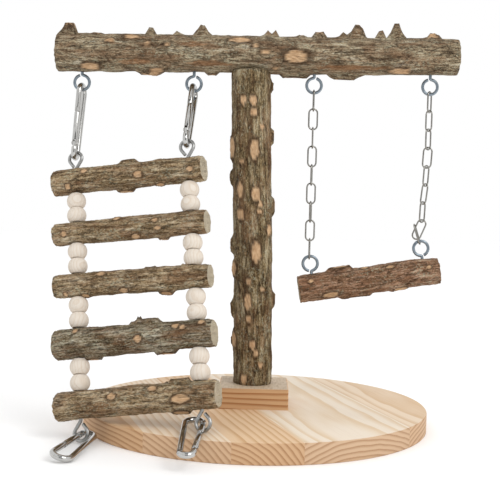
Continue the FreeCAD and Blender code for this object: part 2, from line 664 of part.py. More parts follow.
def make_beam():
    under = tuple(((EYE_PLACES[eye] + distance) / size("beam_length"), *rest)
                  for eye, distance, *rest in BEAM_UNDER_KNOBS)
    bark = branch(size("beam_length"), size("beam_diameter"), size("beam_diameter"), 0.3, BEAM_KNOBS + under, 10)
    bark.Placement = BEAM_FRAME.placement()
    wide = size("post_diameter") / 2 + SEAT_MARGIN
    seat = Part.makeBox(2 * wide, 4 * wide, size("beam_diameter"),
                        Vector(POST_HEAD.x - wide, -2 * wide, POST_TOP - size("beam_diameter")))
    holes = [eye_hole(center, Z_AXIS, size("eye_shank")) for center in BEAM_EYES.values()]
    piece("beam", bark.cut([seat, dowel_screw(CLEARANCE), *holes]))
    eyes = [screw_eye(center, Z_AXIS, X_AXIS, size("eye_shank"), side)
            for center, side in zip(BEAM_EYES.values(), (-1, 1, -1, 1))]
    piece("beam_screw_eyes", Part.makeCompound(eyes))


# ---------------------------------------------------------------- snap hooks
GATE_PIN = Vector(hook_side(size("hook_pin_height")), size("hook_pin_height"), 0)
GATE_TOP = Vector(hook_side(size("hook_nose_height")), size("hook_nose_height"), 0)
TONGUE_RADIUS = 0.9 * HOOK_WIRE
TONGUE_START = size("hook_pin_height") - HOOK_WIRE - 0.6
TAB_LENGTH = 3.0
RIVET_HEAD = 0.2
ARC_CHORDS = 8


def hook_body():
    """Hook of round wire with a slotted nose and a flat tongue for the gate."""
    wide = arc(0, WIDE_CENTER, WIDE_RADIUS, 0, 180, ARC_CHORDS)
    narrow = arc(0, NARROW_CENTER, NARROW_RADIUS, 180, 360, ARC_CHORDS)
    tongue_foot = (hook_side(TONGUE_START), TONGUE_START)
    plan = [(GATE_TOP.x, GATE_TOP.y)] + wide + narrow + [tongue_foot]
    rod = bent_wire([Vector(a, b, 0) for a, b in plan], HOOK_WIRE)
    slot = box_at(Vector(GATE_TOP.x, GATE_TOP.y + TAB_LENGTH / 2, 0), 3 * HOOK_WIRE, TAB_LENGTH + 0.6,
                  size("gate_tab_thickness") + 2 * size("gate_clearance"))
    thick = size("hook_tongue_thickness")
    tongue = prism(GATE_PIN - Z_AXIS * (thick / 2), Z_AXIS, TONGUE_RADIUS, thick, SCREW_SIDES)
    web_height = size("hook_pin_height") - TONGUE_START + 0.6
    web = box_at(GATE_PIN - Vector(0.1, web_height / 2, 0), 2 * TONGUE_RADIUS, web_height, thick)
    pin_hole = prism(GATE_PIN - Z_AXIS * thick, Z_AXIS, size("gate_pin_diameter") / 2 + CLEARANCE / 2, 2 * thick)
    return rod.cut(slot).fuse([tongue, web]).cut(pin_hole)


def box_at(center, width, height, depth):
    return Part.makeBox(width, height, depth, center - Vector(width / 2, height / 2, depth / 2))


def gate_body():
    """Gate: a rod forked over the tongue, with a flat tab that enters the nose."""
    clear = size("gate_clearance")
    end = GATE_TOP - (GATE_TOP - GATE_PIN).normalize() * clear
    start = GATE_PIN - (GATE_TOP - GATE_PIN).normalize() * TONGUE_RADIUS
    middle = (start + end) * 0.5 + Vector(0.01, 0, 0)
    rod = bent_wire([start, middle, end], HOOK_WIRE)
    slot_top = GATE_PIN.y + TONGUE_RADIUS + 2 * clear
    slot = box_at(Vector(GATE_PIN.x, slot_top - 2 * HOOK_WIRE, 0), 4 * HOOK_WIRE, 4 * HOOK_WIRE,
                  size("hook_tongue_thickness") + 2 * clear)
    tab = box_at(GATE_TOP + Vector(0, TAB_LENGTH / 2 - 1, 0), HOOK_WIRE * 1.3, TAB_LENGTH + 1,
                 size("gate_tab_thickness"))
    hole = prism(GATE_PIN - Z_AXIS * 2 * HOOK_WIRE, Z_AXIS, size("gate_pin_diameter") / 2 + CLEARANCE,
                 4 * HOOK_WIRE)
    return rod.fuse(tab).cut([slot, hole])


def gate_rivet():
    half = HOOK_WIRE + RIVET_HEAD
    return prism(GATE_PIN - Z_AXIS * half, Z_AXIS, size("gate_pin_diameter") / 2, 2 * half)


def placed(shape, frame):
    copy = shape.copy()
    copy.Placement = frame.placement()
    return copy


def make_hooks():
    body, gate, rivet = hook_body(), gate_body(), gate_rivet()
    for level, frames in (("top", TOP_HOOKS), ("lower", LOWER_HOOKS)):
        for side, frame in frames.items():
            piece("%s_hook_%s" % (level, side), placed(body, frame))
            piece("%s_gate_%s" % (level, side), placed(gate, frame))
    piece("top_hook_rivets", Part.makeCompound([placed(rivet, frame) for frame in TOP_HOOKS.values()]))
    for side, frame in LOWER_HOOKS.items():
        piece("lower_hook_rivet_%s" % side, placed(rivet, frame))


# ---------------------------------------------------------------- ladder
# how far a wire's free end stops short of its apex, in radii, and the pieces that an eye's round part has
FREE_END_GAP, TEARDROP_CHORDS = 2.6, 10


def teardrop(far, apex, free_side):
    """Eye of a ladder wire, from its free end round to its apex, as (across, distance down the wire)."""
    toward = 1 if apex > far else -1
    middle = far + toward * EYE_ARC
    opening = math.degrees(math.acos(EYE_ARC / (EYE_REACH - EYE_ARC)))
    loop = [(free_side * b, middle + toward * a) for a, b in arc(0, 0, EYE_ARC, opening, 360 - opening, TEARDROP_CHORDS)]
    first = loop[0]
    share = 1 - FREE_END_GAP * LADDER_WIRE / math.dist(first, (0, apex))
    free_end = (first[0] * (1 - share), first[1] + (apex - first[1]) * share)
    return [free_end] + loop + [(0, apex)]


def ladder_wire(side):
    """Wire with a teardrop eye at each end, along its own frame."""
    frame = WIRE_FRAMES[side]
    length = WIRE_LENGTHS[side]
    plan = teardrop(0, EYE_REACH, -1) + teardrop(length, length - EYE_REACH, 1)[::-1]
    return bent_wire([frame.at(a, 0, -b) for a, b in plan], LADDER_WIRE)


def rung_frame(index):
    """Frame of a rung: x from its left to its right hole, z up the ladder, origin at its left end."""
    left = on_wire("left", RUNG_OFFSETS["left"][index])
    right = on_wire("right", RUNG_OFFSETS["right"][index])
    direction = (right - left).normalize()
    return Frame(left - direction * size("rung_overhang_left"), direction, LADDER_DOWN * -1), (right - left).Length


def make_rung(index):
    frame, spacing = rung_frame(index)
    length = spacing + size("rung_overhang_left") + size("rung_overhang_right")
    left, right = 2 * RUNG_RADII["left"][index], 2 * RUNG_RADII["right"][index]
    bark = branch(length, left, right, 1.7 * index + 0.4, RUNG_KNOBS[index], 4)
    bark.Placement = frame.placement()
    reach = left + right
    holes = [prism(on_wire(side, RUNG_OFFSETS[side][index] - reach / 2), LADDER_DOWN,
                   LADDER_WIRE + size("wire_hole_clearance"), reach) for side in ("left", "right")]
    return piece("rung_%d" % (index + 1), bark.cut(holes))


BEAD_SIDES = 14


def make_bead(side, index, below):
    """Barrel bead on a wire; index is the rung above it and below counts the pair's beads downwards."""
    name = "bead_%s_%d" % (side, index * BEADS_BETWEEN + below + 1)
    pitch = BEAD_HEIGHT + size("bead_gap")
    top = RUNG_OFFSETS[side][index] + RUNG_RADII[side][index] + size("bead_gap") + below * pitch
    blank = doc.addObject("Part::Prism", name + "_blank")
    blank.Polygon = BEAD_SIDES
    blank.setExpression("Circumradius", "dimensions.bead_diameter / 2")
    blank.Height = BEAD_HEIGHT
    doc.recompute()
    slope = (size("bead_diameter") - size("bead_face_diameter")) / 2
    barrel = doc.addObject("Part::Chamfer", name + "_barrel")
    barrel.Base = blank
    barrel.Edges = [(int(rim[4:]), slope, slope) for rim in rims(blank.Shape, (0, BEAD_HEIGHT))]
    bore = doc.addObject("Part::Prism", name + "_bore")
    bore.Polygon = 8
    bore.setExpression("Circumradius", "dimensions.ladder_wire / 2 + dimensions.bead_bore_clearance")
    bore.Height = 2 * BEAD_HEIGHT
    bore.Placement.Base.z = -BEAD_HEIGHT / 2
    bead = doc.addObject("Part::Cut", name)
    bead.Label = name
    bead.Base = barrel
    bead.Tool = bore
    frame = WIRE_FRAMES[side]
    seat = Frame(on_wire(side, top + BEAD_HEIGHT), frame.ex, frame.ez)
    bead.Placement = seat.placement()
    PIECES.append(bead)
    return bead


def make_ladder():
    for side in ("left", "right"):
        piece("ladder_wire_%s" % side, ladder_wire(side))
    for index in range(RUNG_COUNT):
        make_rung(index)
    for side in ("left", "right"):
        for index in range(RUNG_COUNT - 1):
            for below in range(BEADS_BETWEEN):
                make_bead(side, index, below)


# ---------------------------------------------------------------- swing
LINK_WIRE = size("link_wire") / 2
LINK_ARC = size("link_width") / 2 - LINK_WIRE
LINK_REACH = size("link_length") - size("link_wire")
LINK_CHORDS = 4
# turn of each link about the chain, and its lean to the right, in degrees
LEFT_LINKS = ((90, 0), (5, 0), (88, 0), (12, 0), (82, 0), (10, 0), (78, 0), (-5, 0), (90, 0))
RIGHT_LINKS = ((58, 0), (122, 0), (48, 0), (-22, -3), (48, -3), (118, -6), (48, -2), (-20, -22.5), (74, 18))
# the right chain is kinked: its last link is caught on the side of the one above it
KINK = 7


def link_path(frame):
    """Middle line of a link that hangs from the frame's origin along -z, in the frame's x and z."""
    low = arc(0, -(LINK_REACH - LINK_ARC), LINK_ARC, 180, 360, LINK_CHORDS)
    high = arc(0, -LINK_ARC, LINK_ARC, 0, 180, LINK_CHORDS)
    return [frame.at(a, 0, b) for a, b in high + low]


def link_end(lean):
    """Reach and slope of a leaning link's round end, whose wire turns in steps, at its highest point."""
    step = 180.0 / LINK_CHORDS
    off = abs(lean) % step
    slope = step / 2 - off if off > 1 else 0
    return (LINK_ARC * cosine(step / 2) / cosine(slope), slope) if off > 1 else (LINK_ARC, 0)


def chain(eye, links, kink=None):
    """Frames of a chain's links, and for each link and what hangs below it, the wire it hangs on and how."""
    touch, held, room = eye_seat(eye), X_AXIS, EYE_WIRE + LINK_WIRE + GAP
    frames, touches = [], [(touch, held)]
    for number, (twist, lean) in enumerate(links):
        axis = Vector(-sine(lean), 0, cosine(lean))
        across = Vector(cosine(lean), 0, sine(lean)) * cosine(twist) + Y_AXIS * sine(twist)
        normal = across.cross(axis)
        up = (Z_AXIS - normal * normal.z).normalize()
        tangent = normal.cross(up)
        reach, slope = link_end(lean)
        top = touch + up * (room / cosine(slope) / abs(up.dot(held.cross(tangent).normalize())))
        frame = Frame(top - up * reach + axis * LINK_ARC, across, axis)
        frames.append(frame)
        if number == kink:
            touch, held = frame.at(-LINK_ARC, 0, -LINK_REACH / 2), axis
        else:
            touch, held = frame.at(0, 0, LINK_ARC - LINK_REACH) - up * reach, tangent
        touches.append((touch, held))
        room = 2 * LINK_WIRE + GAP
    return frames, touches


LEFT_FRAMES, LEFT_TOUCHES = chain("swing_left", LEFT_LINKS)
RIGHT_FRAMES, RIGHT_TOUCHES = chain("swing_right", RIGHT_LINKS, KINK)
PERCH_SEATS = [touch + Z_AXIS * ((EYE_WIRE + LINK_WIRE + GAP) / abs(X_AXIS.cross(held).normalize().z))
               for touch, held in (LEFT_TOUCHES[-1], RIGHT_TOUCHES[-1])]
PERCH_ACROSS = (PERCH_SEATS[1] - PERCH_SEATS[0]).normalize()
PERCH_RADIUS = size("perch_diameter") / 2


def make_swing():
    for number, (left, right) in enumerate(zip(LEFT_FRAMES, RIGHT_FRAMES), start=1):
        links = [bent_wire(link_path(frame), LINK_WIRE, 6, True) for frame in (left, right)]
        piece("chain_links_%d" % number, Part.makeCompound(links))
    up = PERCH_ACROSS.cross(Y_AXIS)
    centers = [seat - up * EYE_RING for seat in PERCH_SEATS]
    eyes = []
    holes = []
    for center, side in zip(centers, (1, 1)):
        eyes.append(screw_eye(center, up * -1, PERCH_ACROSS, PERCH_RADIUS, side))
        holes.append(eye_hole(center, up * -1, PERCH_RADIUS))
    start = centers[0] - up * (PERCH_RADIUS + size("eye_neck") + size("eye_diameter") / 2)
    frame = Frame(start - PERCH_ACROSS * size("perch_overhang"), PERCH_ACROSS, up)
    length = (centers[1] - centers[0]).Length + 2 * size("perch_overhang")
    bark = branch(length, size("perch_diameter"), size("perch_diameter"), 2.1, PERCH_KNOBS, 5)
    bark.Placement = frame.placement()
    piece("swing_perch", bark.cut(holes))
    piece("perch_screw_eyes", Part.makeCompound(eyes))


# ---------------------------------------------------------------- the stand
make_board()
make_block()
make_post()
make_beam()
piece("post_screw", post_screw())
piece("block_screws", Part.makeCompound(block_screws()))
piece("beam_dowel_screw", dowel_screw())
make_hooks()
make_ladder()
make_swing()
doc.recompute()

for item in doc.Objects:
    bad = [state for state in ("Invalid", "Error") if state in item.State]
    if bad:
        raise RuntimeError("%s: %s" % (item.Name, bad))
for feature in PIECES:
    if feature.Shape.isNull() or not feature.Shape.isValid():
        raise RuntimeError("%s has no valid shape" % feature.Label)

os.makedirs("parts", exist_ok=True)
for feature in PIECES:
    feature.Shape.exportStep("parts/%s.step" % feature.Label)
print("%d pieces written" % len(PIECES))
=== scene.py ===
"""Looks of a tabletop parrot play stand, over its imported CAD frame.

Sizes are in millimetres up to the operators, which work in metres. The stand rests on the floor at z = 0, -Y is
the front and +X is to the right. Board, branches, screw eyes, snap hooks, ladder wires, beads and chain links are
modelled anew; the block and the hidden screws keep their CAD meshes.
"""

import functools
import itertools
import json
import math

import bmesh
import bpy
import numpy as np
from mathutils import Matrix, Vector

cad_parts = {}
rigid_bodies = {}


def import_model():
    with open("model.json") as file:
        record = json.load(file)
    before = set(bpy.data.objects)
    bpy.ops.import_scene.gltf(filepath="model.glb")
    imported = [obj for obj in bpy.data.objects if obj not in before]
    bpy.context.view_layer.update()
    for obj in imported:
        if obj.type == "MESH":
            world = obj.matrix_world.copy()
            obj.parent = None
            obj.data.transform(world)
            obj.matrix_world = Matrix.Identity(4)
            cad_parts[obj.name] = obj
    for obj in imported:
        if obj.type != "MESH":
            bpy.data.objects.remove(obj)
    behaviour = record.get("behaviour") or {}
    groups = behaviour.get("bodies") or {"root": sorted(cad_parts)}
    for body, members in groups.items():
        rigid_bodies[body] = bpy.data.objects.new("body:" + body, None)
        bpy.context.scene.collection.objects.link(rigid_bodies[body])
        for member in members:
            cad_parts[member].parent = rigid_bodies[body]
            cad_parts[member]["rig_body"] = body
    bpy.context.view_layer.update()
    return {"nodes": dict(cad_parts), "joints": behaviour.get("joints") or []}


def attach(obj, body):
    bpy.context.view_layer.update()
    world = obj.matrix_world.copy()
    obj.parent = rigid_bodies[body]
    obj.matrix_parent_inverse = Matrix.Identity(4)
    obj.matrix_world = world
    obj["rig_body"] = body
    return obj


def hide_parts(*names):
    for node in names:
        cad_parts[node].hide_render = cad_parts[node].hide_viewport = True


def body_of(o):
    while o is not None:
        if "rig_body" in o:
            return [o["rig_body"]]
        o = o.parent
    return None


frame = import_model()
NODES = frame["nodes"]
JOINTS = {joint["name"]: joint for joint in frame["joints"]}
MM = 0.001
X_AXIS, Y_AXIS, Z_AXIS = np.eye(3)


# ---- places
def unit(v):
    v = np.asarray(v, float)
    return v / np.linalg.norm(v)


def cosine(degrees):
    return math.cos(math.radians(degrees))


def sine(degrees):
    return math.sin(math.radians(degrees))


class Spot:
    """Origin and three unit axes; at() carries local points, in millimetres, to the stand's own frame."""

    def __init__(self, origin, ex, ez):
        self.origin = np.asarray(origin, float)
        self.ex = unit(ex)
        self.ey = unit(np.cross(ez, self.ex))
        self.ez = np.cross(self.ex, self.ey)
        self.axes = np.array([self.ex, self.ey, self.ez])

    def at(self, points):
        return self.origin + np.asarray(points, float) @ self.axes

    def local(self, points):
        return (points - self.origin) @ self.axes.T

    def matrix(self):
        """Places a thing that was modelled at the world's origin."""
        turned = Matrix(self.axes.T.tolist()).to_4x4()
        return Matrix.Translation(metres(self.origin)) @ turned


def metres(point):
    return Vector([float(c) * MM for c in point])


def pivot(name):
    return np.array(JOINTS[name]["pos_m"]) / MM


def axis(name):
    return unit(JOINTS[name]["axis"])


# ---- modelling
def alone(thing):
    """Makes one thing active and the only one selected."""
    bpy.ops.object.select_all(action="DESELECT")
    thing.select_set(True)
    bpy.context.view_layer.objects.active = thing


def settled():
    """Puts the active thing's place and turn into its mesh."""
    bpy.ops.object.transform_apply(location=True, rotation=True, scale=True)
    return bpy.context.object


def editing(on):
    bpy.ops.object.mode_set(mode="EDIT" if on else "OBJECT")


def pick(kind, test):
    """Selects in edit mode the faces or edges that pass a test."""
    bpy.ops.mesh.select_mode(type=kind)
    bpy.ops.mesh.select_all(action="DESELECT")
    mesh = bmesh.from_edit_mesh(bpy.context.object.data)
    for part in mesh.faces if kind == "FACE" else mesh.edges:
        if test(part):
            part.select_set(True)
    bmesh.update_edit_mesh(bpy.context.object.data)


def soften_ends(offset, segments):
    """Bevels in edit mode the edges of end faces, the ones with many sides."""
    pick("FACE", lambda face: len(face.verts) > 4)
    bpy.ops.mesh.bevel(offset=offset * MM, segments=segments, affect="EDGES")


def end_editing():
    """Turns every face outwards and goes back to object mode."""
    bpy.ops.mesh.select_all(action="SELECT")
    bpy.ops.mesh.normals_make_consistent(inside=False)
    editing(False)


def apply_modifier(kind, **settings):
    bpy.ops.object.modifier_add(type=kind)
    modifier = bpy.context.object.modifiers[-1]
    for key, value in settings.items():
        setattr(modifier, key, value)
    bpy.ops.object.modifier_apply(modifier=modifier.name)


def smoothed(thing, degrees=40):
    alone(thing)
    bpy.ops.object.shade_smooth_by_angle(angle=math.radians(degrees))
    return thing


def cut_away(thing, cutter):
    """Takes the cutter's shape out of a thing, and the cutter with it."""
    alone(thing)
    apply_modifier("BOOLEAN", object=cutter, operation="DIFFERENCE", solver="EXACT")
    bpy.data.objects.remove(cutter)


def cube(center, size):
    bpy.ops.mesh.primitive_cube_add(size=1, location=metres(center), scale=metres(size))
    return settled()


def disc(center, radius, thick, sides=40):
    bpy.ops.mesh.primitive_cylinder_add(vertices=sides, radius=radius * MM, depth=thick * MM,
                                        location=metres(center))
    return settled()


def joined(things):
    alone(things[0])
    for thing in things[1:]:
        thing.select_set(True)
    bpy.ops.object.join()
    return things[0]


def copied(master, spot):
    """A copy, with its own mesh, of a thing modelled at the world's origin, put at a spot."""
    alone(master)
    bpy.ops.object.duplicate()
    copy = bpy.context.object
    copy.matrix_world = spot.matrix()
    return settled()


def piece(thing, name, paint, node=None):
    """Names a finished thing, paints it and lets it stand for a CAD node, of the same name unless it's given, and
    ride on that node's body."""
    node = node or name
    thing.name = thing.data.name = name + "_detailed"
    thing.data.materials.clear()
    thing.data.materials.append(paint)
    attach(thing, body_of(NODES[node])[0])
    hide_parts(node)
    return thing


def keep_values(mesh, name, domain, values):
    """Stores a number or a place for each point or face of a mesh, for its material to read."""
    kind, slot = ("FLOAT_VECTOR", "vector") if values.ndim == 2 else ("FLOAT", "value")
    attribute = mesh.attributes.new(name, kind, domain)
    attribute.data.foreach_set(slot, values.astype(np.float32).ravel())


def vertices_of(thing):
    """Places of a mesh's vertices, in millimetres."""
    flat = np.empty(len(thing.data.vertices) * 3)
    thing.data.vertices.foreach_get("co", flat)
    return flat.reshape(-1, 3) / MM


# degrees of a bend for one section of wire, and the shares of its radius that are welded where a ring closes and
# chamfered at a cut end
BEND_STEP, SEAM_WELD, END_CHAMFER = 15, 0.05, 0.3


class Wire:
    """Round wire bent in the world's XY plane: a circle that is drawn out by extrude and turned by spin."""

    def __init__(self, radius, start, toward, sides=14, ring=False):
        self.radius, self.now, self.ring = radius, np.array(start, float), ring
        turned = Vector((*toward, 0)).to_track_quat("Z", "X").to_euler()
        bpy.ops.mesh.primitive_circle_add(vertices=sides, radius=radius * MM, rotation=turned,
                                          fill_type="NOTHING" if ring else "NGON", location=metres((*start, 0)))
        self.thing = settled()
        editing(True)
        bpy.ops.mesh.select_mode(type="VERT")
        bpy.ops.mesh.select_all(action="SELECT")

    def run(self, x, y):
        """Straight on to a point."""
        step = np.array((x, y), float) - self.now
        bpy.ops.mesh.extrude_region_move(TRANSFORM_OT_translate={"value": metres((*step, 0))})
        self.now += step
        return self

    def bend(self, x, y, degrees):
        """Round a centre, to the left for positive degrees."""
        steps = max(3, round(abs(degrees) / BEND_STEP))
        bpy.ops.mesh.spin(steps=steps, angle=math.radians(-degrees), center=metres((x, y, 0)), axis=(0, 0, 1))
        a, b = self.now - (x, y)
        c, s = cosine(degrees), sine(degrees)
        self.now = np.array((x + a * c - b * s, y + a * s + b * c))
        return self

    def corner(self, point, after, radius):
        """Straight on to a corner that is rounded to a radius, then towards the next point."""
        point = np.array(point, float)
        came, goes = unit(point - self.now), unit(np.asarray(after, float) - point)
        side = came[0] * goes[1] - came[1] * goes[0]
        angle = math.degrees(math.asin(max(-1.0, min(1.0, side))))
        back = radius * math.tan(math.radians(abs(angle)) / 2)
        start = point - came * back
        left = np.array((-came[1], came[0])) * math.copysign(radius, angle)
        self.run(*start)
        return self.bend(*(start + left), angle)

    def done(self):
        """Welds a ring where it closes or chamfers the two cut ends, and gives the finished wire."""
        if self.ring:
            bpy.ops.mesh.select_all(action="SELECT")
            bpy.ops.mesh.remove_doubles(threshold=self.radius * MM * SEAM_WELD)
        else:
            soften_ends(self.radius * END_CHAMFER, 2)
        end_editing()
        return smoothed(self.thing)


# ---- noise
# large numbers that scatter the bits of a place and a seed
MIX_X, MIX_Y, MIX_Z, MIX_SEED, MIX_LAST = 374761393, 668265263, 2147483647, 1274126177, 2246822519
WORD, LOW_BITS = 0xFFFFFFFF, 0xFFFFFF


def lattice(ix, iy, iz, seed):
    """Repeatable value from -1 to 1 at whole-number points."""
    n = (ix * MIX_X + iy * MIX_Y + iz * MIX_Z + seed * MIX_SEED) & WORD
    n = ((n ^ (n >> 13)) * MIX_SEED) & WORD
    n = ((n ^ (n >> 16)) * MIX_LAST) & WORD
    return ((n ^ (n >> 15)) & LOW_BITS) / (LOW_BITS >> 1) - 1.0


def noise(points, seed=0):
    """Smooth value noise of points (n, 3) with one cell per unit."""
    whole = np.floor(points).astype(np.int64)
    f = points - whole
    f = f * f * (3 - 2 * f)
    total = 0
    for corner in itertools.product((0, 1), repeat=3):
        shares = [f[:, k] if high else 1 - f[:, k] for k, high in enumerate(corner)]
        total = total + shares[0] * shares[1] * shares[2] * lattice(*(whole + corner).T, seed)
    return total


def layered(points, seed, layers=3):
    """Sum of noises, each twice as fine and half as strong as the last."""
    return sum(noise(points * 2 ** k, seed + 17 * k) * 0.5 ** k for k in range(layers))


def smooth_step(low, high, x):
    t = np.clip((x - low) / (high - low), 0, 1)
    return t * t * (3 - 2 * t)


# ---- branches
# how far a rod starts under its bark, and the height, slope and spread of a plain pruning cut
UNDER, PLAIN_CUT = 1.6, (0.9, 0.15, 1.8)
# size of each ring of a sawn end, as a share of the ring outside it, and how high and uneven the sawn face is
END_RINGS, END_LIFT, END_ROUGH = (0.96, 0.95, 0.9, 0.85, 0.8, 0.7, 0.6, 0.3), 0.4, 0.35
# level that the bark's relief stands on, and the swelling of a branch, as shares of its radius; length of a swell
BARK_LEVEL, SWELL, SWELL_WAVE = 0.985, 0.022, 34
# ridges, lumps, grit and wrinkles: height, cells per millimetre along and across, layers and seed
RELIEF = ((0.42, (0.05, 0.42, 0.42), 3, 3), (0.42, (0.10, 0.16, 0.16), 2, 5),
          (0.16, (0.9, 1.3, 1.3), 1, 8), (0.16, (0.75, 0.2, 0.2), 1, 9))
# depth of a peeled strip, and depth and reach of the wear at the sawn ends
SCAR_DEPTH, WORN_DEPTH, WORN_FROM = 0.25, 0.6, 2.5
# round a pruning cut, in sizes of its oval: the crest and width of the callus, and those of its dark rim
CALLUS, CALLUS_WIDTH, RIM, RIM_WIDTH = 1.28, 0.26, 1.16, 0.2
# how far a branch wanders off its line, and over what length
SWAY, SWAY_WAVE = 0.5, 55
# what a branch's mesh tells its material: where it is cut, rimmed, swollen, peeled and sawn off
BRANCH_MARKS = ("cut", "rim", "knob", "scar", "end")


def scar_form(x, angle, base, solid, scars, seed):
    """How far each place lies in a ragged strip where the outer bark has peeled."""
    scar = np.zeros(len(x))
    for place, front, half_length, half_width in scars:
        turn = angle - math.radians(front)
        w = base * np.sin(turn) + 0.8 * noise(solid * 0.25, seed + 61)
        ragged = 0.25 * noise(solid * [0.3, 0.8, 0.8], seed + 63)
        d = np.hypot((x - place) / half_length, w / half_width) + ragged
        scar = np.maximum(scar, smooth_step(1.15, 0.8, d) * (np.cos(turn) > 0))
    return scar


def bark_form(x, angle, length, radii, cuts, scars, seed):
    """Radius of a branch with its bark on, and how far each place is cut, rimmed, swollen and scarred.

    A cut is (place along, angle from the front, half length, half width, height, slope, spread): an oval that
    size, which stands a height off the bark on a swelling that spreads to so many times its size."""
    base = radii[0] + (radii[1] - radii[0]) * x / length
    ring = np.stack([x * 0, -np.cos(angle), np.sin(angle)], 1)
    solid = ring * base[:, None] + X_AXIS * x[:, None]
    r = base * BARK_LEVEL + SWELL * noise(np.stack([x / SWELL_WAVE, x * 0, x * 0], 1), seed) * base
    for height, cells, layers, step in RELIEF:
        r = r + height * layered(solid * cells, seed + step, layers)
    scar = scar_form(x, angle, base, solid, scars, seed)
    r = r - SCAR_DEPTH * scar
    cut, rim, knob = np.zeros((3, len(x)))
    for number, row in enumerate(cuts):
        place, front, half_length, half_width, height, slope, spread = row + PLAIN_CUT[len(row) - 4:]
        turn = (angle - math.radians(front) + math.pi) % (2 * math.pi) - math.pi
        u, w = x - place, base * np.sin(turn)
        near = (np.cos(turn) > 0.15) & (np.abs(u) < half_length * (spread + 1.2))
        ragged = 1 + 0.16 * noise(np.stack([u * 0.45 + 7 * number, w * 0.45, x * 0], 1), seed + 31)
        d = np.sqrt((u / half_length) ** 2 + (w / half_width) ** 2) * ragged
        callus = (0.35 + 0.12 * height) * np.exp(-((d - CALLUS) / CALLUS_WIDTH) ** 2)
        facet = base + height + slope * u / half_length * (0.4 + 0.3 * height)
        facet = facet / np.maximum(np.cos(turn), 0.3)
        inside = smooth_step(1.12, 0.94, d)
        raised = np.maximum(r, r + height * smooth_step(spread, 1.0, d) + callus)
        r = np.where(near, raised * (1 - inside) + (facet - 0.15) * inside, r)
        cut = np.where(near, np.maximum(cut, smooth_step(1.04, 0.9, d)), cut)
        rim = np.where(near, np.maximum(rim * (d > 1), np.exp(-((d - RIM) / RIM_WIDTH) ** 2)), rim)
        knob = np.where(near, np.maximum(knob, smooth_step(spread, 1.1, d)), knob)
    worn = smooth_step(WORN_FROM, 0.8, np.minimum(x, length - x)) * (0.5 + 0.5 * noise(solid * 0.5, seed + 41))
    return r - WORN_DEPTH * worn, cut, rim, knob, scar


def push(thing, weights, direction="NORMAL"):
    """Displaces each vertex of a thing by its weight, in millimetres."""
    strength = float(weights.max())
    group = thing.vertex_groups.new(name="push")
    for index, weight in enumerate(weights):
        group.add((index,), float(weight) / strength, "REPLACE")
    apply_modifier("DISPLACE", vertex_group="push", strength=strength * MM, mid_level=0.0, direction=direction)
    thing.vertex_groups.remove(thing.vertex_groups["push"])


def branch(name, spot, length, radii, cuts, seed, paint, scars=(), sway="YZ", spacing=0.72, sides=112):
    """Sawn branch along the spot's x: a cone cut into rings, pushed out to its bark, knobs and pruning cuts."""
    turned = Matrix([spot.ey.tolist(), spot.ez.tolist(), spot.ex.tolist()]).transposed().to_euler()
    along, middle = Vector(spot.ex), metres(spot.at((length / 2, 0, 0)))
    low, high = [(radius - UNDER) * MM for radius in radii]
    bpy.ops.mesh.primitive_cone_add(vertices=sides, radius1=low, radius2=high, depth=length * MM,
                                    end_fill_type="NOTHING", rotation=turned, location=middle)
    log = settled()
    editing(True)
    pick("EDGE", lambda edge: not edge.is_boundary)
    bpy.ops.mesh.subdivide(number_cuts=int(length / spacing))
    editing(False)
    x, y, z = spot.local(vertices_of(log)).T
    form = bark_form(x, np.arctan2(z, -y), length, radii, cuts, scars, seed)[0]
    push(log, np.maximum(form - np.hypot(y, z), 0.0))
    editing(True)
    for end, place in ((-1, 0), (1, length)):
        pick("EDGE", lambda edge: edge.is_boundary and end * (edge.verts[0].co - middle).dot(along) > 0)
        bpy.ops.mesh.edge_face_add()
        for share in END_RINGS:
            bpy.ops.mesh.extrude_region_move()
            bpy.ops.transform.resize(value=(share,) * 3, center_override=metres(spot.at((place, 0, 0))))
    end_editing()
    local = spot.local(vertices_of(log))
    x, y, z = local.T
    capped = np.arange(len(x)) >= len(form)
    push(log, np.where(capped, END_LIFT + END_ROUGH * noise(local * [1, 0.55, 0.55], 61 + seed), 0.0))
    values = bark_form(x, np.arctan2(z, -y), length, radii, cuts, scars, seed)[1:]
    for key, value in zip(BRANCH_MARKS, [np.where(capped, 0.0, value) for value in values] + [capped]):
        keep_values(log.data, key, "POINT", value)
    keep_values(log.data, "grain", "POINT", local)
    lift = np.sqrt(np.clip(np.sin(math.pi * x / length), 0, 1))
    for number, direction in enumerate(sway):
        wave = noise(np.stack([x / SWAY_WAVE, x * 0 + 5 * number, x * 0], 1), seed + 51 + number)
        push(log, SWAY * lift * (1 + wave), direction)
    smoothed(log, 180)
    return piece(log, name, paint)


# ---- materials
# every colour is taken down by this share, so that pale surfaces don't clip to white under the lamp
DIM = 0.80


def colour(code):
    """Linear RGBA of an sRGB hex code."""
    parts = [int(code[i:i + 2], 16) / 255 for i in (0, 2, 4)]
    return [DIM * (c / 12.92 if c <= 0.04045 else ((c + 0.055) / 1.055) ** 2.4) for c in parts] + [1.0]


def add(material, kind, inputs=(), out=0, **settings):
    """Adds a node with its settings; inputs gives its sockets values, hex colours or other nodes' outputs. A Mix
    node mixes colours, and a Math node multiplies and adds unless told otherwise."""
    node = material.node_tree.nodes.new("ShaderNode" + kind)
    if kind == "Mix":
        out, settings = 2, {"data_type": "RGBA"}
    elif kind == "Math":
        settings.setdefault("operation", "MULTIPLY_ADD")
    for key, value in settings.items():
        setattr(node, key, value)
    join(material, node, dict(inputs))
    return node.outputs[out]


def join(material, node, inputs):
    for entry, value in inputs.items():
        if isinstance(value, bpy.types.NodeSocket):
            material.node_tree.links.new(value, node.inputs[entry])
        else:
            node.inputs[entry].default_value = colour(value) if isinstance(value, str) else value


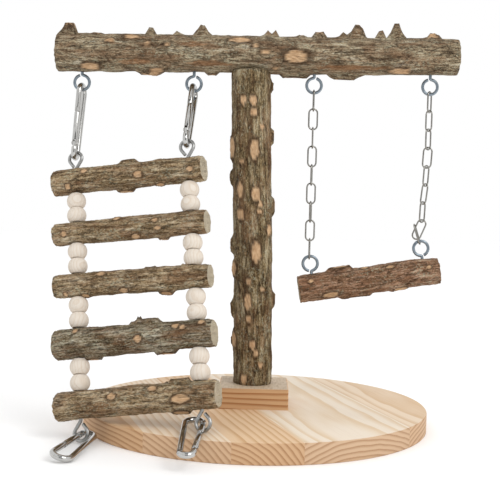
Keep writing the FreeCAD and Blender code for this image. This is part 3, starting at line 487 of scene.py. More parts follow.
def new_material(name):
    """A material, the function that adds nodes to it, and its shader."""
    material = bpy.data.materials.new(name)
    material.use_nodes = True
    return material, functools.partial(add, material), material.node_tree.nodes["Principled BSDF"]


def set_stops(output, stops):
    """Colours of a ramp, as (share, hex code) in rising order."""
    elements = output.node.color_ramp.elements
    while len(elements) < len(stops):
        elements.new(0.5)
    for element, (share, code) in zip(elements, stops):
        element.position, element.color = share, colour(code)
    return output


# patterns of bark: millimetres along and across, detail, roughness, distortion; those under 2 mm are coarser than
# real ones, to show
BARK_PATTERNS = {
    "streak": (20, 2.4, 6, 0.62, 0.6), "patch": (16, 10, 4, 0.55, 0), "fine": (1.4, 0.6, 3, 0.6, 0),
    "lichen": (14, 8, 5, 0.6, 0.4), "speckle": (2, 1.4, 3, 0.6, 0), "peeled": (55, 9, 3, 0.5, 0.3),
    "shaded_crack": (28, 3.3, 5, 0.6, 0.8), "wrinkle": (1.8, 10, 3, 0.5, 0), "fibre": (2.9, 1.1, 4, 0.6, 0),
    "splinter": (1, 1.2, 4, 0.6, 0), "flake": (4.5, 1.7, 5, 0.7, 0.5), "bast": (24, 7, 5, 0.6, 0.6),
}


def air_dried_bark(name, tones, seed, strip="8d6547", strip_share=0.35, lichen="bdbba0"):
    """Bark of an air-dried fruit branch: dull and streaked along the grain, with grey lichen, strips peeled to
    the bast, cracks painted dark as shade, dark callus rims, raw wood in the pruning cuts and pale rings on the
    sawn ends."""
    material, node, shader = new_material(name)
    grain = node("Attribute", out="Vector", attribute_name="grain")
    made = {}
    for number, (key, (along, across, detail, rough, twist)) in enumerate(BARK_PATTERNS.items()):
        place = node("Mapping", {"Vector": grain, "Scale": (1 / along, 1 / across, 1 / across),
                                 "Location": (seed * 7.3 + number * 3.1, seed * 4.7, seed * 2.9)})
        made[key] = node("TexNoise", {"Vector": place, "Scale": 1.0, "Detail": detail, "Roughness": rough,
                                      "Distortion": twist})
    marks = {key: node("Attribute", out="Fac", attribute_name=key) for key in BRANCH_MARKS}
    tone = -0.25
    for key, share in (("patch", 0.38), ("streak", 0.62), ("fine", 0.5)):
        tone = node("Math", {0: made[key], 1: share, 2: tone})
    base = set_stops(node("ValToRGB", {"Fac": tone}), tuple(zip((0.36, 0.44, 0.51, 0.58, 0.67), tones)))
    grown = node("MapRange", {"Value": made["speckle"], "From Min": 0.36, "From Max": 0.58})
    lichen_map = node("Math", {0: made["lichen"], 1: grown}, operation="MULTIPLY")
    # thin crack lines: the bump below sinks them as grooves, and the colour layers paint them dark as shade
    shaded_crack = node("Math", {0: made["shaded_crack"], 1: 0.5, 2: 0.013}, operation="COMPARE")
    flaked = node("MapRange", {"Value": made["flake"], "From Min": 0.47, "From Max": 0.34})
    # each layer covers the last: where its pattern starts and is full, its strength and its colour; the crack
    # layer is painted shade in the cracks
    for value, low, high, share, code in (
            (made["bast"], 0.48, 0.60, 0.42, strip), (lichen_map, 0.44, 0.60, 0.6, lichen),
            (made["peeled"], 0.58, 0.66, strip_share, strip), (flaked, 0.0, 1.0, 0.62, tones[5]),
            (shaded_crack, 0.2, 1.0, 0.5, tones[5]), (made["wrinkle"], 0.62, 0.70, 0.3, tones[5]),
            (marks["scar"], 0.0, 1.0, 0.62, "a5764f"), (marks["knob"], 0.0, 1.0, 0.3, "7d5d40"),
            (marks["rim"], 0.0, 1.0, 0.78, "4b3522")):
        mask = node("MapRange", {"Value": value, "From Min": low, "From Max": high, "To Max": share})
        base = node("Mix", {0: mask, 6: base, 7: code})
    pale = set_stops(node("ValToRGB", {"Fac": made["fibre"]}),
                     ((0.25, "b58a60"), (0.45, "d0a981"), (0.60, "deba92"), (0.80, "e9cda9")))
    base = node("Mix", {0: marks["cut"], 6: base, 7: pale})
    radial = node("VectorMath", {0: grain, 1: (0, 1, 1)}, operation="MULTIPLY")
    reach = node("VectorMath", {0: radial}, out="Value", operation="LENGTH")
    reach = node("Math", {0: made["patch"], 1: 2.2, 2: reach})
    year = node("Math", {0: reach, 1: 0.72}, operation="MULTIPLY")
    year = node("Math", {0: year}, operation="FRACT")
    wood = set_stops(node("ValToRGB", {"Fac": year}),
                     ((0.0, "e6dcc6"), (0.62, "e0d2b6"), (0.86, "cdb791"), (0.97, "e3d7bf")))
    torn = node("MapRange", {"Value": made["splinter"], "From Min": 0.58, "From Max": 0.72})
    wood = node("Mix", {0: torn, 6: wood, 7: "b89b72"})
    end = node("MapRange", {"Value": marks["end"], "From Min": 0.4, "From Max": 0.9})
    base = node("Mix", {0: end, 6: base, 7: wood})
    relief = made["streak"]
    for value, share in ((made["fine"], 0.6), (shaded_crack, -0.8), (flaked, -0.5)):
        relief = node("Math", {0: value, 1: share, 2: relief})
    flat = node("Math", {0: marks["cut"], 1: -0.75, 2: 1.0})
    relief = node("Math", {0: relief, 1: flat}, operation="MULTIPLY")
    bump = node("Bump", {"Strength": 1.0, "Distance": 1.2 * MM, "Height": relief})
    rough = node("Math", {0: made["fine"], 1: 0.2, 2: 0.72})
    join(material, shader, {"Base Color": base, "Roughness": rough, "Normal": bump, "Specular IOR Level": 0.22})
    return material


# patterns of pine: millimetres along, across and up, and detail; the two fine ones are coarser than real, to show
PINE_PATTERNS = {"waver": (150, 45, 30, 3.0), "fibre": (40, 0.7, 0.7, 4.0), "saw": (1.7, 8, 1.7, 4.0)}
# heights between which the block's planed sides turn to its sawn top
SAWN_FROM, SAWN_TO = 28.6, 28.9


def sawn_pine(name, grain, heart, tint, pale, deep, pitch, rim=None, top=None):
    """Planed pine: pale early wood and darker late wood in growth rings round a heart that lies along the grain.

    grain, heart and tint take the node maker and give the place as (along, across, up) and the heart as (0,
    across, up), in millimetres, and the share of each pair's second colour. pitch is a year's growth; rim holds
    the tones of the board's edge and top those of a face left rough by the saw."""
    material, node, shader = new_material(name)
    place, centre, shade = grain(node), heart(node), tint(node)
    made = {}
    for key, (along, across, up, detail) in PINE_PATTERNS.items():
        spot = node("Mapping", {"Vector": place, "Scale": (1 / along, 1 / across, 1 / up)})
        made[key] = node("TexNoise", {"Vector": spot, "Scale": 1.0, "Detail": detail})
    offset = node("VectorMath", {0: place, 1: centre}, operation="SUBTRACT")
    flat = node("VectorMath", {0: offset, 1: (0, 1, 1)}, operation="MULTIPLY")
    reach = node("VectorMath", {0: flat}, out="Value", operation="LENGTH")
    reach = node("Math", {0: made["waver"], 1: 7.0, 2: reach})
    year = node("Math", {0: node("Math", {0: reach, 1: pitch}, operation="DIVIDE")}, operation="FRACT")
    line = node("MapRange", {"Value": year, "From Min": 0.35, "From Max": 0.93}, interpolation_type="SMOOTHSTEP")
    sharp = node("MapRange", {"Value": year, "From Min": 1.0, "From Max": 0.94})
    line = node("Math", {0: line, 1: sharp}, operation="MULTIPLY")
    uneven = node("Math", {0: made["fibre"], 1: 0.8, 2: 0.45})
    line = node("Math", {0: line, 1: uneven}, operation="MULTIPLY")
    early = node("Mix", {0: shade, 6: pale[0], 7: pale[1]})
    late = node("Mix", {0: shade, 6: deep[0], 7: deep[1]})
    base = node("Mix", {0: line, 6: early, 7: late})
    pore = node("MapRange", {"Value": made["fibre"], "From Min": 0.55, "From Max": 0.75, "To Max": 0.22})
    base = node("Mix", {0: pore, 6: base, 7: "c89a6c"})
    if rim:
        bold = node("Mix", {0: line, 6: rim[0], 7: rim[1]})
        edge = node("Math", {0: node("Attribute", out="Fac", attribute_name="rim"), 1: 0.8}, operation="MULTIPLY")
        base = node("Mix", {0: edge, 6: base, 7: bold})
    if top:
        fuzz = set_stops(node("ValToRGB", {"Fac": made["saw"]}), top)
        height = node("SeparateXYZ", {0: place}, out=2)
        above = node("MapRange", {"Value": height, "From Min": SAWN_FROM, "From Max": SAWN_TO, "To Max": 0.85})
        base = node("Mix", {0: above, 6: base, 7: fuzz})
    relief = node("Math", {0: line, 1: made["fibre"]}, operation="ADD")
    bump = node("Bump", {"Strength": 0.5, "Distance": 0.12 * MM, "Height": relief})
    join(material, shader, {"Base Color": base, "Roughness": 0.62, "Normal": bump, "Specular IOR Level": 0.3})
    return material


def turned_beech(name):
    """Bare turned beech: pale and even, with faint rings 2.2 mm apart and short flecks, drawn 0.7 by 4 mm,
    coarser than real, to show."""
    material, node, shader = new_material(name)
    grain = node("Attribute", out="Vector", attribute_name="grain")
    spot = node("TexCoord", out="Object")
    shift = node("TexNoise", {"Vector": spot, "Scale": 80.0, "Detail": 1.0})
    across = node("SeparateXYZ", {0: grain}, out=0)
    year = node("Math", {0: shift, 1: 5.0, 2: across})
    year = node("Math", {0: node("Math", {0: year, 1: 0.45}, operation="MULTIPLY")}, operation="FRACT")
    base = set_stops(node("ValToRGB", {"Fac": year}),
                     ((0.0, "f1e7da"), (0.6, "eee2d3"), (0.9, "e8d9c7"), (1.0, "efe4d6")))
    long = node("Mapping", {"Vector": grain, "Scale": (1.4, 1.4, 0.25)})
    fine = node("TexNoise", {"Vector": long, "Scale": 1.0, "Detail": 3.0})
    fleck = node("MapRange", {"Value": fine, "From Min": 0.5, "From Max": 0.75, "To Max": 0.35})
    base = node("Mix", {0: fleck, 6: base, 7: "d9c4ab"})
    bump = node("Bump", {"Strength": 0.5, "Distance": 0.06 * MM, "Height": fine})
    join(material, shader, {"Base Color": base, "Roughness": 0.6, "Normal": bump, "Specular IOR Level": 0.3})
    return material


def plated_steel(name, bright, dull, rough, cloudy):
    """Drawn steel wire with a thin plating: duller clouds 4.5 mm wide, and drawing marks 0.6 mm wide, which is
    coarser than real, to show."""
    material, node, shader = new_material(name)
    spot = node("Mapping", {"Vector": node("TexCoord", out="Object"), "Scale": (1 / MM,) * 3})
    cloud = node("TexNoise", {"Vector": spot, "Scale": 0.22, "Detail": 4.0})
    mark = node("TexNoise", {"Vector": spot, "Scale": 1.7, "Detail": 2.0})
    mask = node("MapRange", {"Value": cloud, "From Min": 0.42, "From Max": 0.66, "To Max": cloudy})
    base = node("Mix", {0: mask, 6: bright, 7: dull})
    worn = node("Math", {0: cloud, 1: 0.22, 2: rough - 0.11})
    bump = node("Bump", {"Strength": 0.35, "Distance": 0.05 * MM, "Height": mark})
    join(material, shader, {"Base Color": base, "Metallic": 1.0, "Roughness": worn, "Normal": bump})
    return material


# bark tones, from the darkest streak to the palest, and a dark tone for flakes and wrinkles, which is also
# painted into the cracks as shade
BEAM_TONES = ("5e4a33", "85725a", "a69274", "c2b294", "ded5be", "3f2f1e")
POST_TONES = ("4a3820", "6f5a3c", "95805c", "b29f7c", "d6caac", "2c2115")
RUNG_TONES = ("624c33", "8d7554", "b39a76", "cfb998", "e6d8bc", "3c2d1c")
GREY_RUNG_TONES = ("4c3c28", "7a694d", "a1937a", "c2b79f", "ded8c6", "33281c")
PERCH_TONES = ("6b4c34", "906c4e", "b08a6e", "c6a488", "dcc3aa", "47331f")
# zinc is bluish and satin, galvanised wire a plain satin grey, a nickel chain darker and shinier, a bright nickel
# hook pale and mirror-like, and yellow zinc a satin straw colour
ZINC = plated_steel("zinc_plated_eye", "9aa5ae", "77828c", 0.30, 0.6)
GALVANISED = plated_steel("galvanised_wire", "bcbcba", "8e8e8c", 0.30, 0.6)
CHAIN = plated_steel("nickel_chain", "a8a6a0", "7d7a74", 0.22, 0.5)
NICKEL = plated_steel("bright_nickel_hook", "d6d5d2", "a9a8a6", 0.10, 0.35)
SCREW = plated_steel("yellow_zinc_screw", "c9b06a", "a48d50", 0.30, 0.5)
BEECH = turned_beech("turned_beech")
RIM_TONES = ("d6ad84", "a5744a")
BLOCK_TOP_TONES = ((0.3, "bfac92"), (0.5, "d8c6ad"), (0.7, "e2d3bd"))
# the block is warm orange pine with a fuzzy grey top; the board's staves run from cream to orange
BLOCK_WOOD = sawn_pine(
    "sawn_block_pine",
    lambda node: node("Mapping", {"Vector": node("TexCoord", out="Object"), "Scale": (1 / MM,) * 3}),
    lambda node: node("CombineXYZ", {0: 0.0, 1: -10.0, 2: -34.0}), lambda node: 0.5,
    ("dcb083", "dcb083"), ("a96f3c", "a96f3c"), 3.6, top=BLOCK_TOP_TONES)
BOARD_WOOD = sawn_pine(
    "planed_board_pine",
    lambda node: node("Attribute", out="Vector", attribute_name="grain"),
    lambda node: node("Attribute", out="Vector", attribute_name="heart"),
    lambda node: node("Attribute", out="Fac", attribute_name="tint"),
    ("fdf0de", "efc798"), ("efd4ae", "d09a62"), 3.4, rim=RIM_TONES)

# ---- board and block
# the staves run this far round from +X; their seams are this far across, and each stave's heart (across, up) and
# tint, from cream to orange, follow
GRAIN_TURN, SEAMS = -72.3, (-98.9, -51.1, -6.9, 78.0)
HEARTS = ((-120, -30), (-150, -70), (-62, -28), (35, -75), (110, -60))
TINTS = (0.9, 0.35, 0.8, 0.1, 0.4)
BOARD_RADIUS, BOARD_THICK, BOARD_EDGE, BOARD_SIDES = 125, 14, 0.8, 240
# faces that stand up this far out are the board's rim, and not a screw hole
RIM_FROM = 100
# countersunk screws under the board: place along X, head and shank radius, each with its clearance
SCREWS, SCREW_RECESS, SCREW_SIDES = ((-2.7, 4.7, 2.45), (-19.7, 3.7, 1.95), (14.3, 3.7, 1.95)), 0.5, 32


def screw_hole(x, head, shank):
    """Cutter for a countersunk screw: a disc whose top is drawn in to the shank and on through the board."""
    hole = disc((x, 0, SCREW_RECESS - 1), head, 2, SCREW_SIDES)
    editing(True)
    for rise, width in ((head - shank, shank / head), (BOARD_THICK, 1.0)):
        pick("FACE", lambda face: face.normal.z > 0.99)
        bpy.ops.mesh.extrude_region_move(TRANSFORM_OT_translate={"value": (0, 0, rise * MM)})
        bpy.ops.transform.resize(value=(width, width, 1), center_override=metres((x, 0, 0)))
    editing(False)
    return hole


def build_board():
    """A disc with softened edges and its screw holes, cut into staves that each have a heart and a tint."""
    board = disc((0, 0, BOARD_THICK / 2), BOARD_RADIUS, BOARD_THICK, BOARD_SIDES)
    across = np.array((-sine(GRAIN_TURN), cosine(GRAIN_TURN), 0))
    along = np.array((cosine(GRAIN_TURN), sine(GRAIN_TURN), 0))
    editing(True)
    soften_ends(BOARD_EDGE, 3)
    editing(False)
    for screw in SCREWS:
        cut_away(board, screw_hole(*screw))
    alone(board)
    editing(True)
    for seam in SEAMS:
        bpy.ops.mesh.select_all(action="SELECT")
        bpy.ops.mesh.bisect(plane_co=metres(across * seam), plane_no=across.tolist())
    editing(False)
    mesh = board.data
    flat = np.empty(len(mesh.polygons) * 3)
    mesh.polygons.foreach_get("center", flat)
    middles = flat.reshape(-1, 3) / MM
    mesh.polygons.foreach_get("normal", flat)
    sideways = np.abs(flat.reshape(-1, 3)[:, 2]) < 0.9
    outer = np.hypot(middles[:, 0], middles[:, 1]) > RIM_FROM
    stave = np.searchsorted(SEAMS, middles @ across)
    hearts = np.array([(0, a, b) for a, b in HEARTS], float)[stave]
    keep_values(mesh, "heart", "FACE", hearts)
    keep_values(mesh, "tint", "FACE", np.array(TINTS)[stave])
    keep_values(mesh, "rim", "FACE", sideways & outer)
    places = vertices_of(board)
    keep_values(mesh, "grain", "POINT", np.stack([places @ along, places @ across, places[:, 2]], 1))
    smoothed(board, 30)
    return piece(board, "board", BOARD_WOOD, "base_disc")


# ---- branches and their cuts
# measured on the photo where they show and guessed at the back: place along, angle from the front (90 is up, or
# left on the post), half length, half width, then height, slope and spread where they aren't those of a plain cut
CUTS = {
    "beam": (
        (8, 88, 4.2, 3.4, 7.6, 0.1, 1.5), (67.5, 85, 1, 1, 5.4, 0.2, 4.6),
        (87, 80, 0.8, 0.8, 2.3, 0, 4.2), (104.5, 88, 1.4, 1.2, 6.6, 0.2, 4.2),
        (152, 84, 0.9, 0.9, 4.2, 0, 3.6), (157, 86, 1, 1, 4.4, 0, 3.6), (175.4, 80, 2, 1.5, 1.2),
        (189.1, 80, 3, 2.2, 3.6, 0.1, 1.9), (207.2, 88, 1.2, 1.1, 4, 0, 4),
        (217.3, 86, 1.8, 1.4, 8.8, 0.2, 4.6), (234, 84, 1, 1, 5, 0, 4.2),
        (245.5, 86, 1.4, 1.2, 9.2, 0, 4.6), (271.7, 76, 2.6, 2, 2.4, 0, 1.9), (25.2, -51, 6.5, 3.2),
        (27.7, 78, 2.9, 2.2), (39.3, 31, 2.2, 1.8), (54, 45, 4.7, 2.2), (66.6, 20, 2.5, 1.4),
        (79.5, 18, 1.8, 1.4), (132.2, 38, 7.2, 2.5), (143.7, 20, 2.9, 1.8), (150.2, 1, 2.9, 1.8),
        (172.4, -12, 7.9, 4, 0.9), (157.6, -50, 1.8, 1.4), (247.6, -55, 7.2, 2.9, 0.9),
        (271.7, 72, 3.4, 2.2), (66.9, -83, 5.8, 2.5, 2.6), (73, -68, 5, 2.9, 0.8),
        (171.6, -97, 7.2, 2.5, 2.6), (208.1, -97, 7.2, 2.5, 3.6), (111.9, -86, 2.9, 1.4, 2),
        (48, 160, 5, 2.6, 0.8), (118, 175, 4, 2.2), (196, 165, 6, 3, 1.4),
        (262, -160, 4.6, 2.4, 0.8)),
    "post": (
        (206.3, 21, 3.4, 2.2), (205.4, -6, 3.6, 2.4), (197.3, -6, 2.9, 2.5), (186.8, -31, 1.8, 1.8),
        (172.9, 64, 7.2, 3.8, 1.6), (170.6, -8, 7.2, 3, 1.2), (161.8, 28, 1.8, 1.8),
        (141.7, 34, 5, 2.6, 1.2), (138.8, -10, 5.8, 2.8, 1.2), (131.6, -22, 1.8, 1.8),
        (125.9, -19, 1.8, 1.8), (124.5, 34, 4.6, 2.8, 1.2), (112.8, -51, 3.4, 2.8, 1.3),
        (97.1, -10, 8.3, 3.2, 1.2), (85.1, 62, 5.2, 3.2, 1.5), (75.8, 11, 2.5, 1.8), (69.6, -28, 1.8, 1.8),
        (61, 14, 7.2, 2.2), (48.7, 11, 2.9, 1.8), (33.1, 62, 5.8, 3, 1.5), (29.9, 0, 3.2, 2.2),
        (23.3, -9, 2.2, 1.8), (15.1, -22, 1.8, 1.8), (4.6, 24, 3.4, 2.5), (217, -88, 3, 2, 1.7),
        (180, -88, 3.6, 2.2, 2.2), (130, -86, 4, 2.2, 2.2), (62, -88, 4, 2.2, 2.2),
        (151, 90, 3.4, 2, 2), (101.6, 90, 4, 2.2, 2.2), (55, 90, 3.6, 2, 2),
        (31, 92, 3, 2, 1.8), (40, 170, 5, 2.4, 0.8), (92, -160, 6, 2.6, 1),
        (150, 165, 5, 2.2, 0.8), (196, 178, 4, 2.2, 0.7)),
    "rung_1": (
        (25.8, 21, 2.5, 1.8), (66.5, -21, 2.8, 2.1), (80.6, -80, 2.8, 1.7), (13.2, -42, 2.1, 2.1),
        (104.5, -19, 2, 1.7), (56.3, 80, 4.4, 2.4, 2.4), (53.6, -100, 4.8, 2.4, 2.4), (40, 170, 3.6, 2)),
    "rung_2": (
        (48.3, 39, 2.7, 1.7), (77, 8, 2.4, 1.3), (79, -28, 2, 1.3), (61.9, -61, 2.7, 2),
        (80.4, -100, 2.7, 2, 1.7), (9.6, -17, 2.1, 1.7), (58, 175, 3, 2)),
    "rung_3": (
        (35.8, 31, 2.7, 2), (69.3, 73, 2.7, 1.7), (95.9, 72, 2.3, 1.6), (52, -55, 2.7, 2),
        (23.5, -71, 3, 2), (9.6, -54, 1.7, 1.7), (81.4, -85, 4, 2.4, 2.4), (66, -170, 3.4, 2)),
    "rung_4": (
        (16.4, 37, 2.3, 1.7), (88, 24, 2.6, 1.9), (93, 17, 1.9, 1.6), (104.8, 37, 2.2, 1.9),
        (62, -14, 2.6, 2.3), (66.2, 85, 5.6, 2.8, 3), (57, 80, 2.5, 2, 1.8), (26.6, -95, 4.2, 2.4, 2),
        (78, -95, 5, 2.4, 2.4), (44, 172, 3.8, 2.2)),
    "rung_5": (
        (41.6, 9, 2.9, 2.2), (69.4, 29, 2.8, 1.9), (88.6, -18, 5.7, 2.5), (85.7, 80, 5, 2.4, 2.4),
        (86.9, -80, 5, 2.4, 1.8), (30, 172, 3.8, 2.2)),
    "swing_perch": (
        (49.4, 63, 2.9, 1.4), (67.3, 47, 2.9, 1.4), (8.9, 31, 1.8, 1.4), (22.1, -39, 5.8, 2.2),
        (72.9, -61, 5, 2.2), (95.1, 22, 1.8, 1.4), (31.9, 88, 6, 2.4, 2.4), (41.1, -84, 7.5, 2.8, 1.6),
        (60, 170, 4, 2.2)),
}
# peeled strips of the beam: place along, angle, half length, half width
BEAM_SCARS = ((57, -38, 12, 1.9), (110, -38, 15, 2.4), (97, 22, 10, 1.8), (211, -46, 28, 2.0))
BEAM_SPOT = Spot((-149.83, 0, 266.91), (cosine(0.73), 0, sine(0.73)), Z_AXIS)
BEAM_LENGTH, BEAM_RADII, POST_RADII = 290, (13.5, 13.5), (14.5, 14.2)
POST_FOOT, POST_HEAD = np.array((-2.7, 0, 29.0)), np.array((-9.34, 0, 256.7))
POST_SPOT = Spot(POST_FOOT, POST_HEAD - POST_FOOT, -X_AXIS)
RUNG_RADII = ((9.3, 9.1), (7.8, 8.3), (8.4, 8.1), (10.5, 9.1), (9.7, 9.3))
# how far down each wire the rungs sit, how far they stand out past the wires, and which is the grey one
RUNG_OFFSETS = {"left": (22.9, 62.1, 100.4, 141.4, 183.7), "right": (22.7, 62.2, 100.7, 140.0, 180.5)}
RUNG_LEFT, RUNG_RIGHT, GREY_RUNG = 16, 11, 3
LADDER_DOWN = -axis("wire_bead_left_1")
WIRE_TOPS = {"left": pivot("ladder_from_hooks"), "right": np.array((-52.971, -28.196, 203.991))}
WIRE_LENGTHS = {"left": 207.0, "right": 203.4}
WIRE_RADIUS, WIRE_LOOP, WIRE_LOOP_REACH, LOOP_GAP, LOOP_CORNER = 1.2, 4.8, 13.3, 2.6, 2.0
PERCH_SEATS = np.array((36.708, 0, 123.387)), np.array((117.586, 0.527, 136.621))
PERCH_ALONG = unit(PERCH_SEATS[1] - PERCH_SEATS[0])
PERCH_UP = unit(np.cross(PERCH_ALONG, Y_AXIS))
PERCH_DROP, PERCH_END, PERCH_LENGTH, PERCH_RADIUS = 18, 10.5, 102.96, 10
# screw eyes: radii of the ring and the wire, length of the shank, radius of its bend, and degrees left open; each
# eye's place on the beam is followed by the side that its shank leaves to
EYE_RING, EYE_RADIUS, EYE_SHANK, EYE_BEND, EYE_END = 5.4, 1.1, 9.0, 1.1, 106
BEAM_EYES = {(-132.18, 0, 245.63): 1, (-50.69, 0, 246.67): -1, (36.71, 0, 247.79): -1, (121.1, 0, 248.86): 1}


def build_branches():
    branch("beam", BEAM_SPOT, BEAM_LENGTH, BEAM_RADII, CUTS["beam"], seed=11,
           paint=air_dried_bark("bark_beam", BEAM_TONES, seed=1.0), scars=BEAM_SCARS, sides=128)
    branch("post", POST_SPOT, float(np.linalg.norm(POST_HEAD - POST_FOOT)), POST_RADII, CUTS["post"], seed=23,
           paint=air_dried_bark("bark_post", POST_TONES, seed=2.0), sway="XY", sides=128)
    for number, radii in enumerate(RUNG_RADII):
        left, right = [WIRE_TOPS[side] + LADDER_DOWN * RUNG_OFFSETS[side][number] for side in ("left", "right")]
        spot = Spot(left - unit(right - left) * RUNG_LEFT, right - left, -LADDER_DOWN)
        name = "rung_%d" % (number + 1)
        tones = GREY_RUNG_TONES if number == GREY_RUNG else RUNG_TONES
        branch(name, spot, float(np.linalg.norm(right - left)) + RUNG_LEFT + RUNG_RIGHT, radii, CUTS[name],
               seed=31 + 7 * number, paint=air_dried_bark("bark_" + name, tones, seed=3.0 + number), sides=104)
    eye = PERCH_SEATS[0] - PERCH_UP * EYE_RING
    spot = Spot(eye - PERCH_UP * PERCH_DROP - PERCH_ALONG * PERCH_END, PERCH_ALONG, PERCH_UP)
    branch("swing_perch", spot, PERCH_LENGTH, (PERCH_RADIUS, PERCH_RADIUS), CUTS["swing_perch"], seed=83,
           paint=air_dried_bark("bark_perch", PERCH_TONES, seed=9.0, strip="94694d", strip_share=0.5), sides=104)


# ---- screw eyes
def build_eyes():
    """The shank swings out to one side and runs round the ring, whose free end stops short of it."""
    rise = math.sqrt(EYE_RING ** 2 + 2 * EYE_RING * EYE_BEND)
    leave = math.degrees(math.atan2(rise, EYE_BEND))
    wire = Wire(EYE_RADIUS, (0, rise + EYE_SHANK), (0, -1))
    eye = wire.run(0, rise).bend(EYE_BEND, rise, leave).bend(0, 0, -(leave + 360 - EYE_END)).done()
    beam_eyes = [copied(eye, Spot(place, X_AXIS * side, np.cross(X_AXIS * side, Z_AXIS)))
                 for place, side in BEAM_EYES.items()]
    piece(joined(beam_eyes), "beam_screw_eyes", ZINC)
    perch_eyes = [copied(eye, Spot(seat - PERCH_UP * EYE_RING, PERCH_ALONG * side,
                                   np.cross(PERCH_ALONG * side, -PERCH_UP)))
                  for seat, side in zip(PERCH_SEATS, (1, -1))]
    piece(joined(perch_eyes), "perch_screw_eyes", ZINC)
    bpy.data.objects.remove(eye)


# ---- snap hooks
# radius of the wire, and radius and height of the wide and the narrow bow
HOOK_WIRE, WIDE, NARROW, WIDE_AT, NARROW_AT = 2.0, 6.0, 4.1, 50.0, 6.1
# where the gate turns, and where it meets the hook's nose
PIN, NOSE = np.array((4.355, 12.0)), np.array((5.351, 35.0))
# tongue of the hook that the gate's slot straddles, on a web that sinks into the wire
TONGUE, TONGUE_FOOT, TONGUE_THICK, TONGUE_SHIFT, WEB_SHIFT, WEB_SINK = 1.8, 9.4, 1.6, 0.14, 0.1, 0.6
# tab of the gate in the nose's slot, and the cutters for both slots
TAB_THICK, TAB_LENGTH, TAB_WIDTH, TAB_ROOT, NOSE_CUTTER, NOSE_ROOM, GATE_CUTTER = 1.1, 3.0, 2.6, 1, 6, 0.3, 8
PLAY, RIVET_HEAD, RIVET_HEAD_RADIUS, RIVET_ROUNDING = 0.2, 0.25, 1.1, 0.9
# points of a hook's own plane that rest on what holds it
WIDE_SEAT, LEFT_GRIP, RIGHT_GRIP = (0, 52.6), (0, 7.1), (1.2, 51.0)
# degrees that the top hooks stand more edge-on than their CAD nodes
TOP_TURN = -7


def hook_spot(gate, local, place, turn=0.0):
    """Spot of a hook whose gate turns at a joint and which has a local point at a place of the stand; it's turned
    a few degrees about its length."""
    swing, a, b = place - pivot(gate), *(np.array(local) - PIN)
    ex = a * swing - b * np.cross(axis(gate), swing)
    spot = Spot((0, 0, 0), ex, axis(gate))
    spot.origin = pivot(gate) - spot.at((*PIN, 0))
    ex, ez = spot.ex * cosine(turn) + spot.ez * sine(turn), spot.ez * cosine(turn) - spot.ex * sine(turn)
    return Spot(spot.origin, ex, ez)


def model_hook():
    """Wire bent to a wide and a narrow bow, with a slot in its nose and a tongue for the gate."""
    wire = Wire(HOOK_WIRE, NOSE, (0, 1), sides=24)
    wire.run(WIDE, WIDE_AT).bend(0, WIDE_AT, 180).run(-NARROW, NARROW_AT).bend(0, NARROW_AT, 180)
    hook = wire.run(NARROW + TONGUE_SHIFT, TONGUE_FOOT).done()
    cut_away(hook, cube((*(NOSE + (0, TAB_LENGTH / 2 - NOSE_ROOM)), 0),
                        (NOSE_CUTTER, TAB_LENGTH + 2 * NOSE_ROOM, TAB_THICK + 2 * PLAY)))
    web = cube((PIN[0] - WEB_SHIFT, (PIN[1] + TONGUE_FOOT - WEB_SINK) / 2, 0),
               (2 * TONGUE, PIN[1] - TONGUE_FOOT + WEB_SINK, TONGUE_THICK))
    return smoothed(joined([hook, disc((*PIN, 0), TONGUE, TONGUE_THICK), web]))


def model_gate():
    """Straight wire from the pin to the nose, slotted over the tongue, with a flat tab that enters the nose."""
    lean = unit(NOSE - PIN)
    gate = Wire(HOOK_WIRE, PIN - lean * TONGUE, lean, sides=24).run(*(NOSE - lean * PLAY)).done()
    cut_away(gate, cube((*(PIN + (0, TONGUE + 2 * PLAY - GATE_CUTTER / 2)), 0),
                        (GATE_CUTTER, GATE_CUTTER, TONGUE_THICK + 2 * PLAY)))
    tab = cube((*(NOSE + (0, TAB_LENGTH / 2 - TAB_ROOT)), 0), (TAB_WIDTH, TAB_LENGTH + TAB_ROOT, TAB_THICK))
    return smoothed(joined([gate, tab]))


def model_rivet():
    """Pin through gate and tongue, with a low rounded head at each end."""
    half = HOOK_WIRE + RIVET_HEAD
    rivet = disc((*PIN, 0), RIVET_HEAD_RADIUS, 2 * half, 24)
    editing(True)
    soften_ends(RIVET_HEAD * RIVET_ROUNDING, 3)
    editing(False)
    return smoothed(rivet)


def build_hooks():
    right_eye = np.array((-50.69, 0, 246.67)) - Z_AXIS * EYE_RING
    spots = {"top_%s_left": hook_spot("gate_top_left", WIDE_SEAT, pivot("ladder_from_beam"), TOP_TURN),
             "top_%s_right": hook_spot("gate_top_right", WIDE_SEAT, right_eye, TOP_TURN),
             "lower_%s_left": hook_spot("gate_lower_left", LEFT_GRIP, pivot("hook_lower_left")),
             "lower_%s_right": hook_spot("gate_lower_right", RIGHT_GRIP, pivot("hook_lower_right"))}
    hook, gate, rivet = model_hook(), model_gate(), model_rivet()
    rivets = {}
    for name, spot in spots.items():
        piece(copied(hook, spot), name % "hook", NICKEL)
        piece(copied(gate, spot), name % "gate", NICKEL)
        rivets[name] = copied(rivet, spot)
    piece(joined([rivets["top_%s_left"], rivets["top_%s_right"]]), "top_hook_rivets", NICKEL)
    for side in ("left", "right"):
        piece(rivets["lower_%s_" + side], "lower_hook_rivet_" + side, NICKEL)
    for master in (hook, gate, rivet):
        bpy.data.objects.remove(master)


# ---- ladder wires and beads
BEAD_RADIUS, BEAD_FACE, BEAD_HEIGHT, BEAD_BORE, BEADS_PER_WIRE = 6.75, 4.18, 10.6, 1.55, 8
# degrees that each bead is turned on from the last, and the left wire's from the right's
BEAD_TURN, LEFT_TURN = 47, 20
ACROSS = -axis("ladder_from_hooks")


